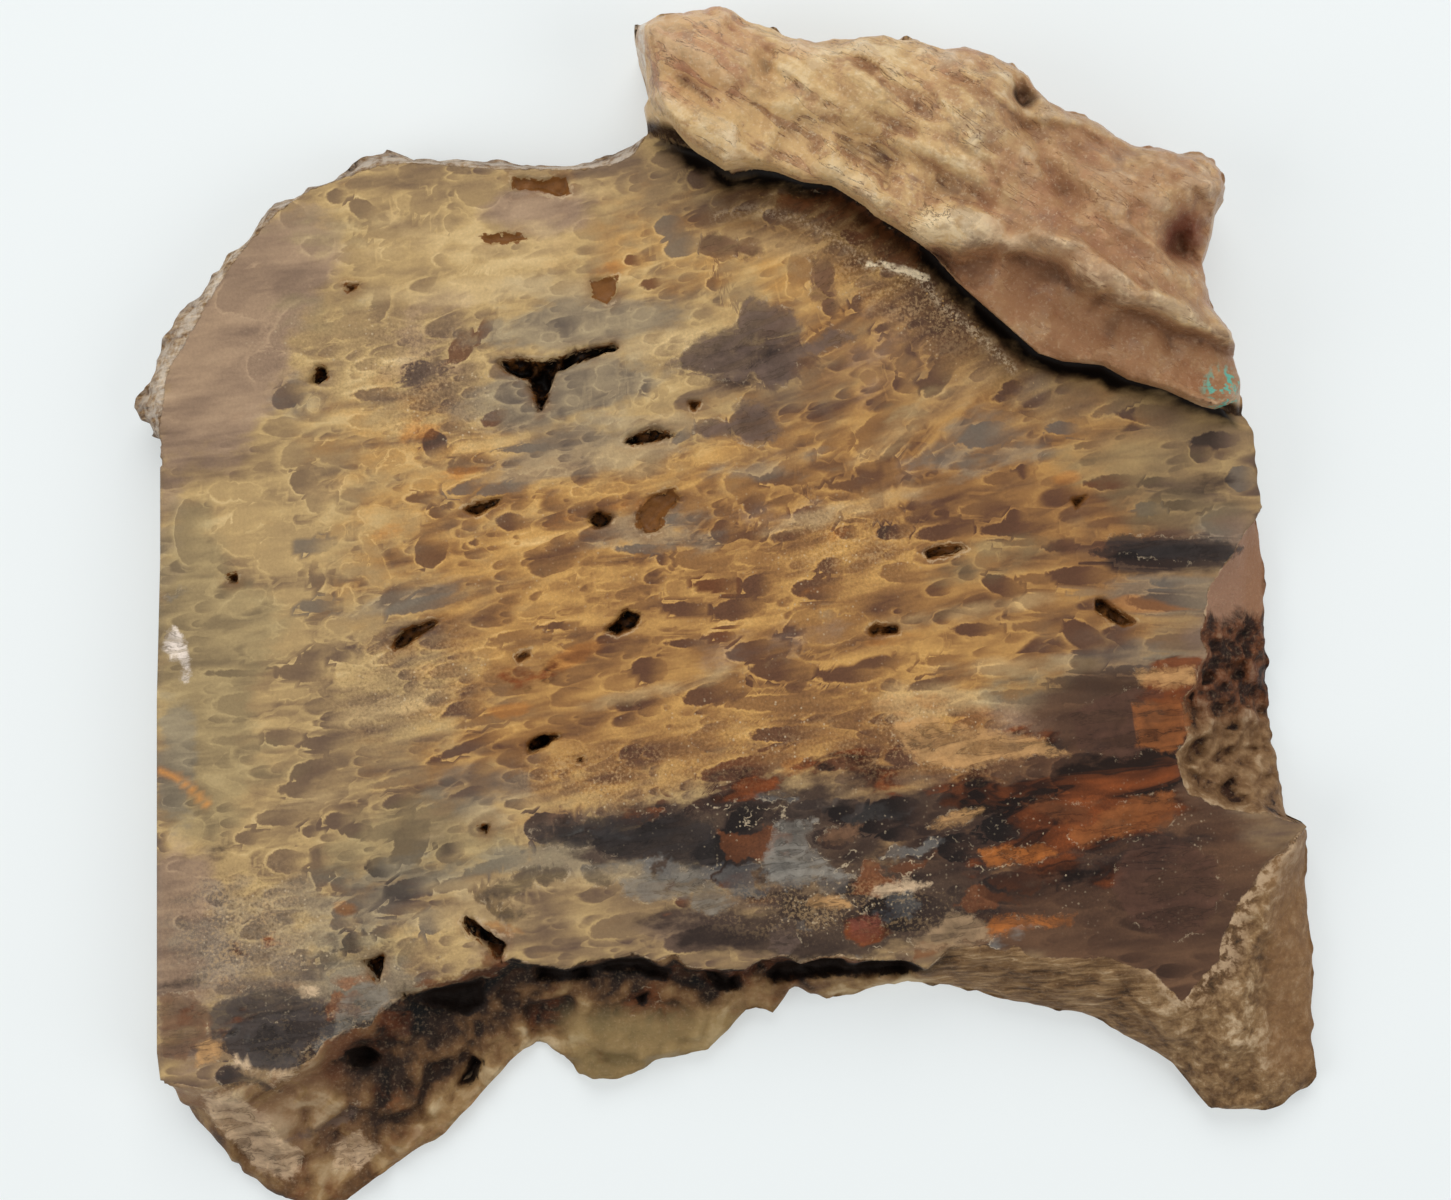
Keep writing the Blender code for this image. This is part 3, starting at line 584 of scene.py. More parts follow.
def needsDetail(zones):
    near = (zones["toOutline"] < 2.5) | (zones["toVug"] < 1.5) | zones["ridge"] | (zones["toFoot"] < 4)
    near |= np.abs(zones["toPatch"]) < 0.35
    return near | zones["lower"] | zones["notch"] | zones["rind"] | (zones["toLower"] < 1.5)


# A lattice's heights averaged over a square of neighbours, twice
def softened(heights, reach):
    for axis in (0, 1, 0, 1):
        padded = np.concatenate([np.repeat(heights.take([0], axis), reach, axis), heights,
                                 np.repeat(heights.take([-1], axis), reach, axis)], axis)
        total = np.cumsum(np.insert(padded, 0, 0, axis), axis)
        count = heights.shape[axis]
        window = 2 * reach + 1
        heights = (total.take(range(window, window + count), axis) - total.take(range(count), axis)) / window
    return heights


# The whole stone as one closed surface. With each point go the place on the flat slab that it came from,
# how far it lies below its surroundings, and whether it is on the back.
def stoneSurface():
    split = slab["fineSplit"]
    cells = slab["coarseCells"]
    fine = cells * split
    s, t = squareGrid(fine)
    x, y, rimX, rimY = spread(s, t)
    zones = zonesOf(x, y)
    grid = {name: value.reshape(fine + 1, fine + 1) for name, value in zones.items()}
    every = slice(split // 2, cells * split, split)
    middle = {name: value[every, every] for name, value in grid.items()}
    detail = needsDetail(middle)
    detail[[0, -1], :] = True
    detail[:, [0, -1]] = True
    z = upperHeight(x, y, zones)
    sunk = softened(z.reshape(fine + 1, fine + 1), 5).ravel() - z
    sunk = sunk * softStep(0.5, 3.5, zones["toOutline"])
    topX, topY, topZ = cutGroove(x, y, z, zones)
    print("top:", len(x), "points,", int(detail.sum()), "cells of", cells * cells, "with relief")

    points = [np.stack([topX, topY, topZ], axis=1)]
    flat = [np.stack([x, y, sunk, 0 * x], axis=1)]
    quads, loose, sizes = topPolygons(detail)
    polygons = [(quads.ravel(), np.full(len(quads), 4)), (loose, sizes)]

    rim = rimLoop(fine)
    count = len(rim)
    above = rim
    reachX, reachY = topX[rim] - slab["middle"][0], topY[rim] - slab["middle"][1]
    length = np.hypot(reachX, reachY)
    start = len(x)
    for row in range(1, slab["wallRows"] + 1):
        down = row / slab["wallRows"]
        kept = 1 - undercut(rimX[rim], rimY[rim], np.full(count, down)) / length
        wall = np.stack([slab["middle"][0] + reachX * kept, slab["middle"][1] + reachY * kept,
                         topZ[rim] * (1 - down)], axis=1)
        points.append(wall)
        flat.append(np.stack([x[rim], y[rim], sunk[rim], 0 * x[rim]], axis=1))
        below = start + np.arange(count)
        strip = np.stack([above, np.roll(above, -1), np.roll(below, -1), below], axis=1)
        polygons.append((strip.ravel(), np.full(count, 4)))
        above = below
        start += count
    edge = points[-1][:, :2]

    back = slab["backCells"]
    bs, bt = squareGrid(back)
    ring = np.maximum(np.abs(bs), np.abs(bt))
    scale = np.where(ring > 0, ring, 1)
    turn = clockPlace(bs / scale, bt / scale) * count / 8
    bx = np.interp(turn, np.arange(count + 1), np.append(edge[:, 0], edge[0, 0]))
    by = np.interp(turn, np.arange(count + 1), np.append(edge[:, 1], edge[0, 1]))
    inset = ring * slab["backInset"]
    bx, by = (slab["middle"][k] + (b - slab["middle"][k]) * inset for k, b in enumerate((bx, by)))
    points.append(np.stack([bx, by, 0 * bx], axis=1))
    flat.append(np.stack([bx, by, 0 * bx, 0 * bx + 1], axis=1))
    first = (np.arange(back)[:, None] * (back + 1) + np.arange(back)).ravel() + start
    under = np.stack([first, first + 1, first + back + 2, first + back + 1], axis=1)
    polygons.append((under.ravel(), np.full(len(under), 4)))
    inner = rimLoop(back) + start
    per = count // len(inner)
    outer = above[(np.arange(len(inner))[:, None] * per + np.arange(per + 1)) % count]
    joint = np.concatenate([outer, np.roll(inner, -1)[:, None], inner[:, None]], axis=1)
    polygons.append((joint.ravel(), np.full(len(joint), joint.shape[1])))
    return np.concatenate(points), np.concatenate(flat), polygons


# How far round the square's rim a place is, clockwise from (-1, -1): 0 to 8
def clockPlace(s, t):
    place = np.where(s <= -1, t + 1, 0.0)
    place = np.where((t >= 1) & (s > -1), s + 3, place)
    place = np.where((s >= 1) & (t < 1), 5 - t, place)
    return np.where((t <= -1) & (s > -1) & (s < 1), 7 - s, place)


def meshFrom(name, points, polygons):
    corners = np.concatenate([c for c, _ in polygons])
    sizes = np.concatenate([n for _, n in polygons])
    used, corners = np.unique(corners, return_inverse=True)
    mesh = bpy.data.meshes.new(name)
    mesh.vertices.add(len(used))
    mesh.vertices.foreach_set("co", (points[used] * mm).astype(np.float32).ravel())
    mesh.loops.add(len(corners))
    mesh.loops.foreach_set("vertex_index", corners.ravel().astype(np.int32))
    mesh.polygons.add(len(sizes))
    starts = np.concatenate([[0], np.cumsum(sizes)[:-1]])
    mesh.polygons.foreach_set("loop_start", starts.astype(np.int32))
    mesh.update(calc_edges=True)
    mesh.validate(verbose=True)
    mesh.shade_smooth()
    return mesh, used


def putAttribute(mesh, name, kind, values):
    attribute = mesh.attributes.new(name, kind, "POINT")
    key = "vector" if kind == "FLOAT_VECTOR" else "color"
    attribute.data.foreach_set(key, values.astype(np.float32).ravel())


# Coordinates that follow the coral's growth: a smooth turning of the plane that keeps small shapes.
# The turn is slight at the left and bottom and about 35 degrees beside the ridge.
grain = {"tilt": 0.02, "centre": 55 + 75j, "turn": 18.0, "aim": -140}


def grainOf(x, y):
    reach = x + 1j * y - grain["centre"]
    bend = grain["turn"] * np.exp(1j * math.radians(grain["aim"]))
    logReach = np.log(reach * np.exp(2.2j)) - 2.2j
    bent = reach - 1j * bend * logReach + bend**2 / (2 * reach) + 1j * bend**3 / (12 * reach**2)
    bent = bent * np.exp(-1j * grain["tilt"])
    u = bent.real
    return u - 0.5 * 15 * np.logaddexp(0, (u + 10) / 15), bent.imag  # cells are longer at the right


# Cells of the coral on the sawn face, read off: middle, half length, half width, angle in degrees
cells = {
    "ring": [
        (-48, 61, 1.1, 1.1, 0), (-70, 45.5, 2.3, 1.7, 20), (-49.5, 53.5, 1.9, 1.1, 0),
        (-36, 49.5, 4.9, 0.8, 0), (-20.5, 42.5, 0.8, 0.6, 0), (-17, 43.5, 1, 0.6, 0),
        (-12.5, 44.5, 1.5, 0.8, 20), (10, 48, 1.2, 1.1, 0), (-26.5, 41, 1.1, 0.7, 0),
        (-23, 31.5, 0.9, 0.6, 0), (-18, 36, 1.3, 0.7, 0), (-18, 34, 1.6, 0.9, 0), (-16, 31, 0.9, 0.7, 0),
        (-13.5, 37, 1.1, 0.7, 0), (-13, 31.5, 0.9, 0.7, 0), (-11.5, 36, 1.1, 0.8, 20),
        (-10.5, 30.5, 0.9, 0.8, 0), (-9.5, 33, 1.1, 0.8, 80), (-4.5, 34.5, 1.4, 0.8, 0),
        (21, 35, 1.2, 1.1, 0), (-75, 18, 1.9, 1.4, 0), (-71.5, 18, 1.9, 1.3, 0), (-54, 28.5, 2.3, 0.9, 0),
        (-53.5, 23, 1.1, 1.1, 0), (-53.5, 23, 1, 0.9, 0), (-51, 21, 1.1, 0.9, 0),
        (-49.5, 23.5, 0.9, 0.8, 0), (-48.5, 23, 0.8, 0.8, 0), (-48, 27.5, 1.1, 0.8, 0),
        (-45, 19, 1.7, 0.9, 0), (-35.5, 20, 2.4, 0.7, 10), (-30, 19.5, 1.9, 1, 0), (-25.5, 21, 1.2, 0.5, 0),
        (-22, 18, 1.1, 0.7, 0), (-21.5, 29, 1.2, 0.8, 0), (-18.5, 18.5, 1, 0.8, 0),
        (-18, 22.5, 1.2, 0.5, 0), (-18, 21.5, 1, 0.5, 0), (-17, 27.5, 0.9, 0.6, 0), (-16, 18.5, 1, 0.7, 0),
        (-9, 30, 0.9, 0.8, 0), (-7, 22, 1.7, 0.5, 5), (-74.5, 11.5, 1.8, 1.5, 0), (-72, 10, 2.4, 1.5, 0),
        (-71.5, 14, 2.2, 1.8, 0), (-69, 15, 2.4, 1.5, 0), (-67, 7, 2.4, 1.3, 0), (-67, 9.5, 3.1, 1.8, 10),
        (-67, 12.5, 1.9, 1.3, 0), (-66.5, 7, 2.8, 1.3, 0), (-63, 11.5, 1.6, 1.1, 0), (-58, 12, 1.1, 1.1, 0),
        (-55.5, 6.5, 1.7, 0.8, 0), (-55.5, 6.5, 1.7, 0.9, 0), (-52.5, 8.5, 3.6, 0.8, -62),
        (-47, 12, 1.6, 0.9, 0), (4.5, 8, 3.1, 0.9, 0), (38.5, 8, 1.7, 1.4, 0), (-72, 1.5, 2.7, 1.2, 20),
        (-71, 2.5, 2.1, 0.8, 10), (-69.5, -5.5, 1.7, 1.4, 0), (-66.5, -5, 1.5, 1.5, 0),
        (-65, -1.5, 2.3, 0.9, -20), (-64.5, 2.5, 3, 1.1, 10), (-64, -4, 1.6, 1.1, -30),
        (-57.5, -2, 2, 1.1, -5), (-56.5, 2, 1.7, 0.9, -80), (-54.5, -1, 1, 0.9, 0), (-54, -3.5, 1, 1, 0),
        (-52.5, 0.5, 0.9, 0.8, 0), (-52.5, -1.5, 1.4, 0.9, 20), (-52, 5.5, 1.7, 1.4, -60),
        (-51.5, 5, 1.4, 1.1, 0), (-35.5, -6, 2, 0.8, 0), (-28.5, 0.5, 2.3, 0.8, 20), (-27, 1, 0.9, 0.8, 0),
        (-25, 4, 1.4, 0.8, 0), (-21.5, 6, 0.8, 0.7, 0), (-19, 0.5, 0.8, 0.6, 0), (-17.5, 4, 1.8, 0.6, 5),
        (-7.5, 3.5, 1.7, 1.3, 0), (11.5, -1.5, 2.1, 1.9, 20), (16.5, -2.5, 4.4, 1.8, 20),
        (-65, -12, 2.4, 0.8, 5), (-16, -10.5, 2.6, 1.2, 0), (-76.5, -37.5, 4.9, 1.7, 5),
        (-33, -34.5, 1.1, 0.9, 0), (-71.5, -44.5, 1.1, 1, 0),
    ],
    "dull": [
        (-8.5, 67.5, 2.8, 1.3, 0), (-64.5, 59, 2.1, 1.9, -30), (-61.5, 54.5, 1.8, 1.2, 0),
        (-55.5, 55, 1.3, 0.7, 5), (-50, 56.5, 4, 0.8, 5), (-45.5, 60.5, 1.3, 1.5, 60),
        (-43, 62.5, 0.9, 1.1, 0), (-41, 58, 1.1, 1.4, 0), (-37, 62.5, 2.3, 3.2, 80), (-19, 57, 4, 1.7, 0),
        (9.5, 58, 1.5, 0.9, 0), (-73, 47.5, 3.4, 2.3, 40), (-68.5, 50.5, 2.3, 1.9, 30),
        (-63, 44.5, 4.9, 1.9, 35), (-56, 53, 1.9, 1.1, 10), (-56, 42.5, 3.6, 1.7, 10),
        (-42.5, 52.5, 1.2, 0.9, 0), (-3.5, 44.5, 1.8, 0.8, 15), (0, 51.5, 1.5, 0.8, 10),
        (1.5, 47.5, 1.5, 1, 30), (11, 52, 4, 1.9, 80), (27.5, 45, 1.5, 0.9, 0), (-69, 36.5, 2.5, 2.2, -20),
        (-65.5, 41, 2.7, 1.9, 20), (-61.5, 41.5, 1.7, 1.9, 0), (-53, 37, 2.3, 0.9, 10),
        (4.5, 31.5, 2.7, 1.7, 20), (12.5, 35, 2.3, 1.6, -50), (16, 41, 5.7, 1.7, 25),
        (24, 39.5, 1.9, 1.1, 20), (26.5, 37, 1.6, 1.3, 0), (27, 33.5, 1.9, 0.9, 0), (31.5, 40, 3, 1.1, 30),
        (57.5, 30.5, 3.2, 0.7, 20), (-64, 23.5, 2.7, 1.7, 30), (-64, 24, 2.6, 1.6, 30),
        (-58, 24, 3.4, 1.7, 5), (-58, 23.5, 3.5, 1.4, 0), (2, 19, 2.7, 1.7, -20), (8, 26, 2.3, 1.4, 0),
        (9.5, 22, 2.7, 1, 20), (15.5, 25, 2.3, 0.9, 25), (21.5, 18, 2.3, 0.9, 0), (21.5, 26, 3.4, 0.8, 40),
        (22, 28, 3.6, 1.1, 35), (22.5, 21.5, 2.9, 1.1, -5), (28.5, 28, 1.5, 0.9, 10),
        (28.5, 22, 2.3, 0.8, 10), (32.5, 25.5, 4.2, 0.6, 30), (35.5, 22, 3, 0.6, 10), (41, 20, 2.8, 0.9, 5),
        (43.5, 25, 2.3, 0.5, 5), (54, 25, 2.3, 0.5, 10), (64, 29, 4.2, 1.3, -10), (-80, 12, 2.3, 4.9, 0),
        (-61, 16.5, 1.7, 1.7, 0), (-55, 17.5, 2.7, 1.1, 0), (-4.5, 8, 3.6, 1.5, 0), (6.5, 14.5, 2, 0.8, 20),
        (21.5, 14.5, 3.1, 0.5, 0), (38, 15.5, 3.2, 0.9, 5), (45, 10.5, 4.6, 0.5, 3),
        (57.5, 13.5, 4.6, 0.7, 6), (74.5, 13.5, 4, 2.1, 0), (-60, -5.5, 1.9, 0.9, -20),
        (-31.5, -3.5, 4.2, 0.8, 10), (-22.5, -5, 2.7, 0.6, 0), (-13, 1, 2.4, 0.5, 10), (26, 6, 3.4, 1.5, 0),
        (46.5, 5, 3, 0.8, -5), (46.5, -2, 4.2, 0.8, 0), (47.5, 1.5, 4.2, 1.5, -5), (67, -4.5, 4.6, 1.4, 0),
        (-72, -13.5, 4.4, 1.7, 4), (-50, -6.5, 2.7, 0.8, 20), (-41, -8.5, 3.4, 1.1, 12),
        (-34, -15.5, 6.5, 0.8, 12), (9.5, -13.5, 10.2, 1.2, 0), (32.5, -7, 3.8, 0.8, 5),
        (41, -8.5, 3.4, 0.8, 3), (45, -12.5, 7.9, 1.1, 0), (-73, -19, 3.4, 0.7, 0),
        (-59.5, -25, 2.3, 1.1, 0), (-46.5, -24.5, 7.2, 0.8, 12), (-42.5, -29.5, 4.7, 1.4, 15),
        (-81, -37.5, 2, 0.7, 10), (-51, -32.5, 3.4, 1.1, 20), (-66, -53, 2, 1.7, 0),
        (-64, -43, 3.4, 0.8, 3), (-47, -51, 2.3, 1.7, 40), (-15, -46.5, 5.6, 1.7, 10),
    ],
    "dark": [
        (-58, 62, 1.7, 1.1, 0), (-54, 60, 2.5, 1.4, -25), (-4, 64.5, 2.1, 1.4, 10),
        (-1.5, 54.5, 3, 1.7, -5), (6.5, 59, 1.2, 1.1, 0), (-51.5, 46.5, 2.7, 1.4, 80), (-2, 49, 1.1, 1, 0),
        (4, 44.5, 3.6, 2.2, 70), (7.5, 43, 4.6, 1.9, 15), (14.5, 50.5, 2.7, 1.5, 85),
        (15.5, 45.5, 1.4, 1.3, 0), (19.5, 46, 1.1, 1.3, 0), (23.5, 42.5, 1.8, 0.6, 15),
        (-51.5, 32.5, 4.2, 1, 2), (-12, 33.5, 0.9, 0.8, 0), (-0.5, 38.5, 6.6, 2.7, 10),
        (7, 34.5, 1.7, 1.4, 0), (8.5, 37, 4.4, 2.5, 20), (25.5, 34, 0.9, 0.8, 0), (30, 34, 2.3, 0.8, 0),
        (31.5, 35, 3.4, 1.6, 55), (41, 32, 1.5, 0.6, 10), (42.5, 33.5, 1.6, 1.1, 0), (-63, 19.5, 2, 1.9, 0),
        (-2.5, 27.5, 2.5, 1.4, -5), (4, 28, 3.6, 2.5, -10), (9.5, 20, 5.3, 1, 2), (20, 19, 5.5, 0.8, 3),
        (22, 21.5, 3, 1.1, 15), (22.5, 21, 2.7, 1.3, 0), (25.5, 25, 3.8, 0.7, 45), (29, 28, 1.1, 0.8, 15),
        (44, 21, 1.1, 1.1, 0), (61, 29.5, 2.7, 0.8, 0), (64, 19.5, 3, 0.8, 3), (70.5, 24, 1.7, 1.7, 0),
        (-45.5, 17, 2.4, 0.8, 0), (-44, 9.5, 3, 2.4, 60), (-43, 15, 1.4, 0.9, 0), (-41, 16, 0.8, 0.5, 0),
        (-37.5, 10.5, 0.9, 0.5, 10), (-32, 13.5, 2.4, 1.3, 0), (-9.5, 8, 1.1, 0.9, 0),
        (-0.5, 12, 1.9, 1.8, 0), (3.5, 11.5, 2, 0.7, 0), (4, 16.5, 2, 1.5, 60), (9.5, 11.5, 3.1, 0.9, 10),
        (15.5, 7, 2.1, 1.2, 0), (18, 12, 2, 1, 0), (25, 12, 2.3, 1.1, 10), (27.5, 16, 1.4, 0.7, 5),
        (32, 12, 4.1, 1.1, 8), (42.5, 12.5, 5, 1.1, 3), (43, 14, 1.6, 1.4, 0), (49.5, 10, 2.2, 0.9, 10),
        (66, 7.5, 7.6, 0.8, 0), (68, 16, 3.2, 0.8, 0), (-61.5, 6, 2.3, 0.8, 90), (-61, 5, 1.8, 1.1, 90),
        (-57.5, -2, 1.3, 0.6, -5), (-49.5, 2.5, 3.4, 0.8, 25), (-49.5, 3, 3.1, 0.8, 30),
        (-24.5, -2, 2.8, 0.6, 0), (-6, 0.5, 3.9, 1.1, -3), (-6, -4.5, 3.1, 0.6, 0),
        (1.5, 0.5, 3.8, 1.6, 10), (4.5, 4, 2.2, 1.7, 0), (4.5, -5.5, 4.6, 1.5, 10),
        (10, -2.5, 1.9, 1.1, 10), (13.5, 3.5, 3.8, 1.6, 0), (37, -2.5, 3.6, 1, 0), (41, 4, 3.2, 1.5, -20),
        (52.5, 5.5, 4.9, 1.4, 2), (53, -3.5, 3.6, 1.9, -30), (65.5, 1.5, 5.7, 1.3, -2),
        (-73, -9, 4.6, 0.6, 0), (-63, -9, 4.2, 1.3, -5), (-61.5, -7, 2, 1.2, -25),
        (-57.5, -6.5, 1.9, 0.9, -5), (-39.5, -14.5, 3, 1.4, 20), (-11.5, -8.5, 2.8, 1.9, 0),
        (-2.5, -12, 4.3, 1.5, 15), (8, -8.5, 4.4, 1.7, 0), (19, -9, 5.8, 1.3, 5), (23, -7.5, 4.6, 1.2, 8),
        (31, -10.5, 4.2, 0.9, 10), (53.5, -7.5, 2.4, 1.5, 0), (54, -10.5, 6.6, 1.1, -2),
        (61, -8.5, 4.9, 0.7, 0), (-66, -18.5, 3.1, 1.3, 0), (-63, -26.5, 3.8, 1.1, -3),
        (-61.5, -23.5, 3.6, 1.7, 15), (-60, -19.5, 3.2, 1.1, 0), (-49, -28, 2.5, 1.1, 15),
        (-38, -27, 3, 1.1, 15), (-37.5, -19.5, 7.2, 0.8, 22), (-31, -28.5, 2.4, 0.8, 0),
        (9, -18, 5.8, 1.2, 3), (53.5, -24, 5.4, 3.2, 0), (67, -20.5, 2.2, 1.1, 0),
        (-71.5, -33.5, 1.7, 1.1, 0), (-66.5, -30.5, 3.8, 1.2, 5), (-65.5, -37, 3, 1.9, 0),
        (-62, -32.5, 1.3, 0.9, 0), (-60.5, -37.5, 1.6, 2.3, 0), (-60.5, -38, 2.9, 1.5, 90),
        (-58, -31, 2, 1.3, 0), (-57.5, -40.5, 1.5, 1.1, 0), (-55, -32.5, 2, 1.2, 0),
        (-51.5, -37.5, 2.1, 1.1, 0), (-48, -36.5, 1.9, 1, 0), (-47, -33.5, 3.8, 2.7, 80),
        (-41.5, -36, 1.8, 1.3, 0), (-39, -40, 5.5, 1, 15), (-26, -39.5, 2.7, 1.3, 0),
        (43, -41, 5.8, 2.5, 0), (64, -35.5, 2.2, 1.4, 0), (-81, -46, 1.2, 1, 10),
        (-75.5, -42.5, 2.1, 1.1, 8), (-69.5, -47, 3.1, 1.5, 20), (-65.5, -45.5, 2.1, 0.9, 10),
        (-63, -51, 1.4, 1, 0), (-62, -54, 1.7, 0.9, 0), (-59.5, -51.5, 1.3, 1, 0), (-57.5, -46, 1.8, 1, 15),
        (-55.5, -43.5, 3.6, 1.2, 25), (-51, -47.5, 1.7, 1, 0), (-48.5, -44, 3.8, 0.9, 5),
        (-4, -48.5, 5.6, 1.8, 10),
    ],
    "black": [
        (-65, 32.5, 3, 1.8, 35), (-45.5, 35.5, 2.5, 2.1, -20), (-43.5, 25, 2.3, 1.9, -70),
        (72.5, 25.5, 3.6, 1.1, 3), (24.5, 12, 2.4, 1.1, 5), (65.5, 9.5, 11.4, 1.3, 3),
        (3, -30, 4.1, 1.7, 40), (18, -29.5, 3.1, 1.8, 0), (25.5, -29.5, 4.3, 2.2, 0),
        (46.5, -28, 5.4, 0.5, 0), (-51.5, -38, 2.3, 1.4, 0), (-47, -41, 3.8, 1.6, 10),
        (-41, -35.5, 2.2, 1.4, 20), (-27, -32, 3.2, 2.4, 0), (-23.5, -32, 5.6, 2, 0),
        (-16, -34.5, 3.4, 1.7, 0), (-10, -32, 4.6, 1.3, 15), (1, -35, 6.1, 2.7, 10), (22, -31, 3.6, 2, 0),
        (25, -33, 2.9, 1.1, 0), (34.5, -35, 3.2, 2.2, 0), (41.5, -32, 3.8, 2.2, 0), (49, -41, 1.1, 0.5, 0),
        (-55.5, -49, 1.8, 1.6, 10), (-35, -42, 2.7, 1.4, 10), (-32.5, -45, 2.1, 1.1, 0),
        (26.5, -44.5, 6.5, 2.9, 0), (-74, -64.5, 1.5, 1.1, 0), (-66.5, -63, 8.2, 3.8, 5),
        (-74, -69, 2.3, 1.7, 0),
    ],
    "pale": [
        (-29.5, 60, 2.3, 0.9, 8), (-38.5, 52.5, 1.1, 0.5, 0), (-37.5, 46.5, 1.9, 0.7, 15),
        (-33, 52, 2.1, 0.5, 0), (-32, 45.5, 2.3, 0.5, 5), (-28, 52, 2.3, 0.6, 5), (-61.5, 31, 0.8, 1, 0),
        (-31, 41.5, 2.5, 0.5, 5), (-56, 19.5, 0.9, 0.8, 0), (-36, 25, 4.6, 0.6, 8), (-1.5, 23.5, 3, 1, 10),
        (32.5, 27.5, 3.2, 0.5, 50), (49.5, 21.5, 2.7, 0.8, 0), (-59, 14, 1.3, 0.6, 0),
        (-51.5, 14, 3.2, 1.6, -20), (-17.5, 6.5, 2, 0.5, 0), (-7.5, 12, 1.4, 0.7, 0),
        (25.5, 17.5, 1.9, 1, 10), (52.5, 12, 1.9, 0.8, 10), (59, 12, 3.4, 0.9, 3), (-26, 2, 2, 0.7, 10),
        (-17.5, -1, 6.8, 0.5, 5), (-7.5, -1.5, 3.8, 0.6, 5), (-4, 3, 1.4, 0.5, 0), (30, -5, 1.9, 1, 20),
        (65.5, -1, 4.6, 0.5, -2), (-68, -16.5, 2.3, 0.7, 10), (-56, -10, 2.3, 0.8, 0),
        (-42.5, -16.5, 4.6, 0.5, 15), (20.5, -6.5, 5.1, 0.5, 12), (-75, -25.5, 2.7, 0.8, -20),
        (-24.5, -20, 3.1, 1, 0), (-19.5, -27.5, 4.1, 0.8, 15), (-8.5, -24, 2, 1.7, 50),
        (-80.5, -33, 2.8, 1.9, 40), (-2, -30.5, 1.7, 0.9, 20), (-62.5, -56, 2.4, 1, 0),
    ],
    "blue": [
        (-8.5, 57.5, 2.3, 1.7, 0), (-6.5, 54.5, 3, 1.5, 15), (-39, 18.5, 2.7, 0.9, 15),
        (-33, 18.5, 3.8, 0.8, 10), (-29.5, 24.5, 4.6, 0.6, 5), (-6.5, 26.5, 2.3, 0.8, 40),
        (38.5, 26.5, 4.2, 1.9, 10), (50, 27.5, 2.5, 1, 0), (76.5, 20, 2.3, 1.9, 0), (-62, 10, 3.4, 1.2, 0),
        (-12.5, 9.5, 4.1, 0.7, 0), (-8, 14, 1.7, 0.8, 5), (63, 15.5, 2.3, 1.1, 0), (-61, 1, 3.4, 0.9, 0),
        (-44.5, 1.5, 6.6, 1.1, 12), (65.5, 4.5, 2.3, 0.8, 0), (54, -12.5, 6.7, 1.1, 0),
        (13, -28.5, 3.1, 0.8, 5), (-34, -37.5, 4.6, 1, 12), (-19.5, -39, 2.6, 1.4, -20),
        (-44, -46, 2, 1.9, 0), (-54.5, -60, 4.1, 1.7, 10),
    ],
    "brown": [
        (-22.5, 63, 1.5, 0.9, 0), (3.5, 54.5, 2.1, 1.3, 0), (19, 55.5, 2.3, 0.8, -30),
        (-36, 42.5, 1.9, 1, 60), (-14, 52.5, 1.3, 0.8, 0), (-11, 49, 1.8, 0.8, 10),
        (-39.5, 39.5, 2.8, 1.6, 55), (-34.5, 29, 2.3, 1.1, 20), (57.5, 19.5, 4.2, 1.1, 5),
        (13, 14.5, 3.4, 1.4, 0), (-1.5, 4, 3.8, 1.1, 0), (-0.5, -3.5, 2.1, 0.8, 0),
        (-9.5, -28.5, 1.2, 0.7, 0), (0, -27.5, 5.8, 1.1, 15), (3, -23, 7.3, 1.6, 12),
        (16.5, -22.5, 3.4, 0.9, 10), (48, -30, 5.4, 1.6, 0), (1.5, -39.5, 3.8, 1.6, 0),
        (16, -33.5, 3.4, 1.7, 0), (57, -34.5, 5.8, 1.4, 3), (-6.5, -43, 1.2, 0.8, 0),
    ],
    "milky": [
        (15, 0, 1, 0.5, 0), (54.5, 3, 3.8, 0.5, 2), (64.5, 5.5, 4.6, 0.5, 2), (69, 5, 4.2, 0.7, 2),
        (67, -6.5, 4.2, 0.5, 0), (-12.5, -37, 4.1, 0.5, 2), (-55.5, -55, 3.8, 2.4, 0),
    ],
}

# How each kind of cell looks: its darkness from 0 pale to 1 black, and its hue from 0 brown to 1 blue
cellLooks = {
    "pale": (0.0, 0.5), "milky": (0.12, 0.9), "ring": (0.36, 0.5), "dull": (0.55, 0.5),
    "brown": (0.7, 0.0), "blue": (0.62, 1.0), "dark": (0.8, 0.5), "black": (1.0, 0.6),
}

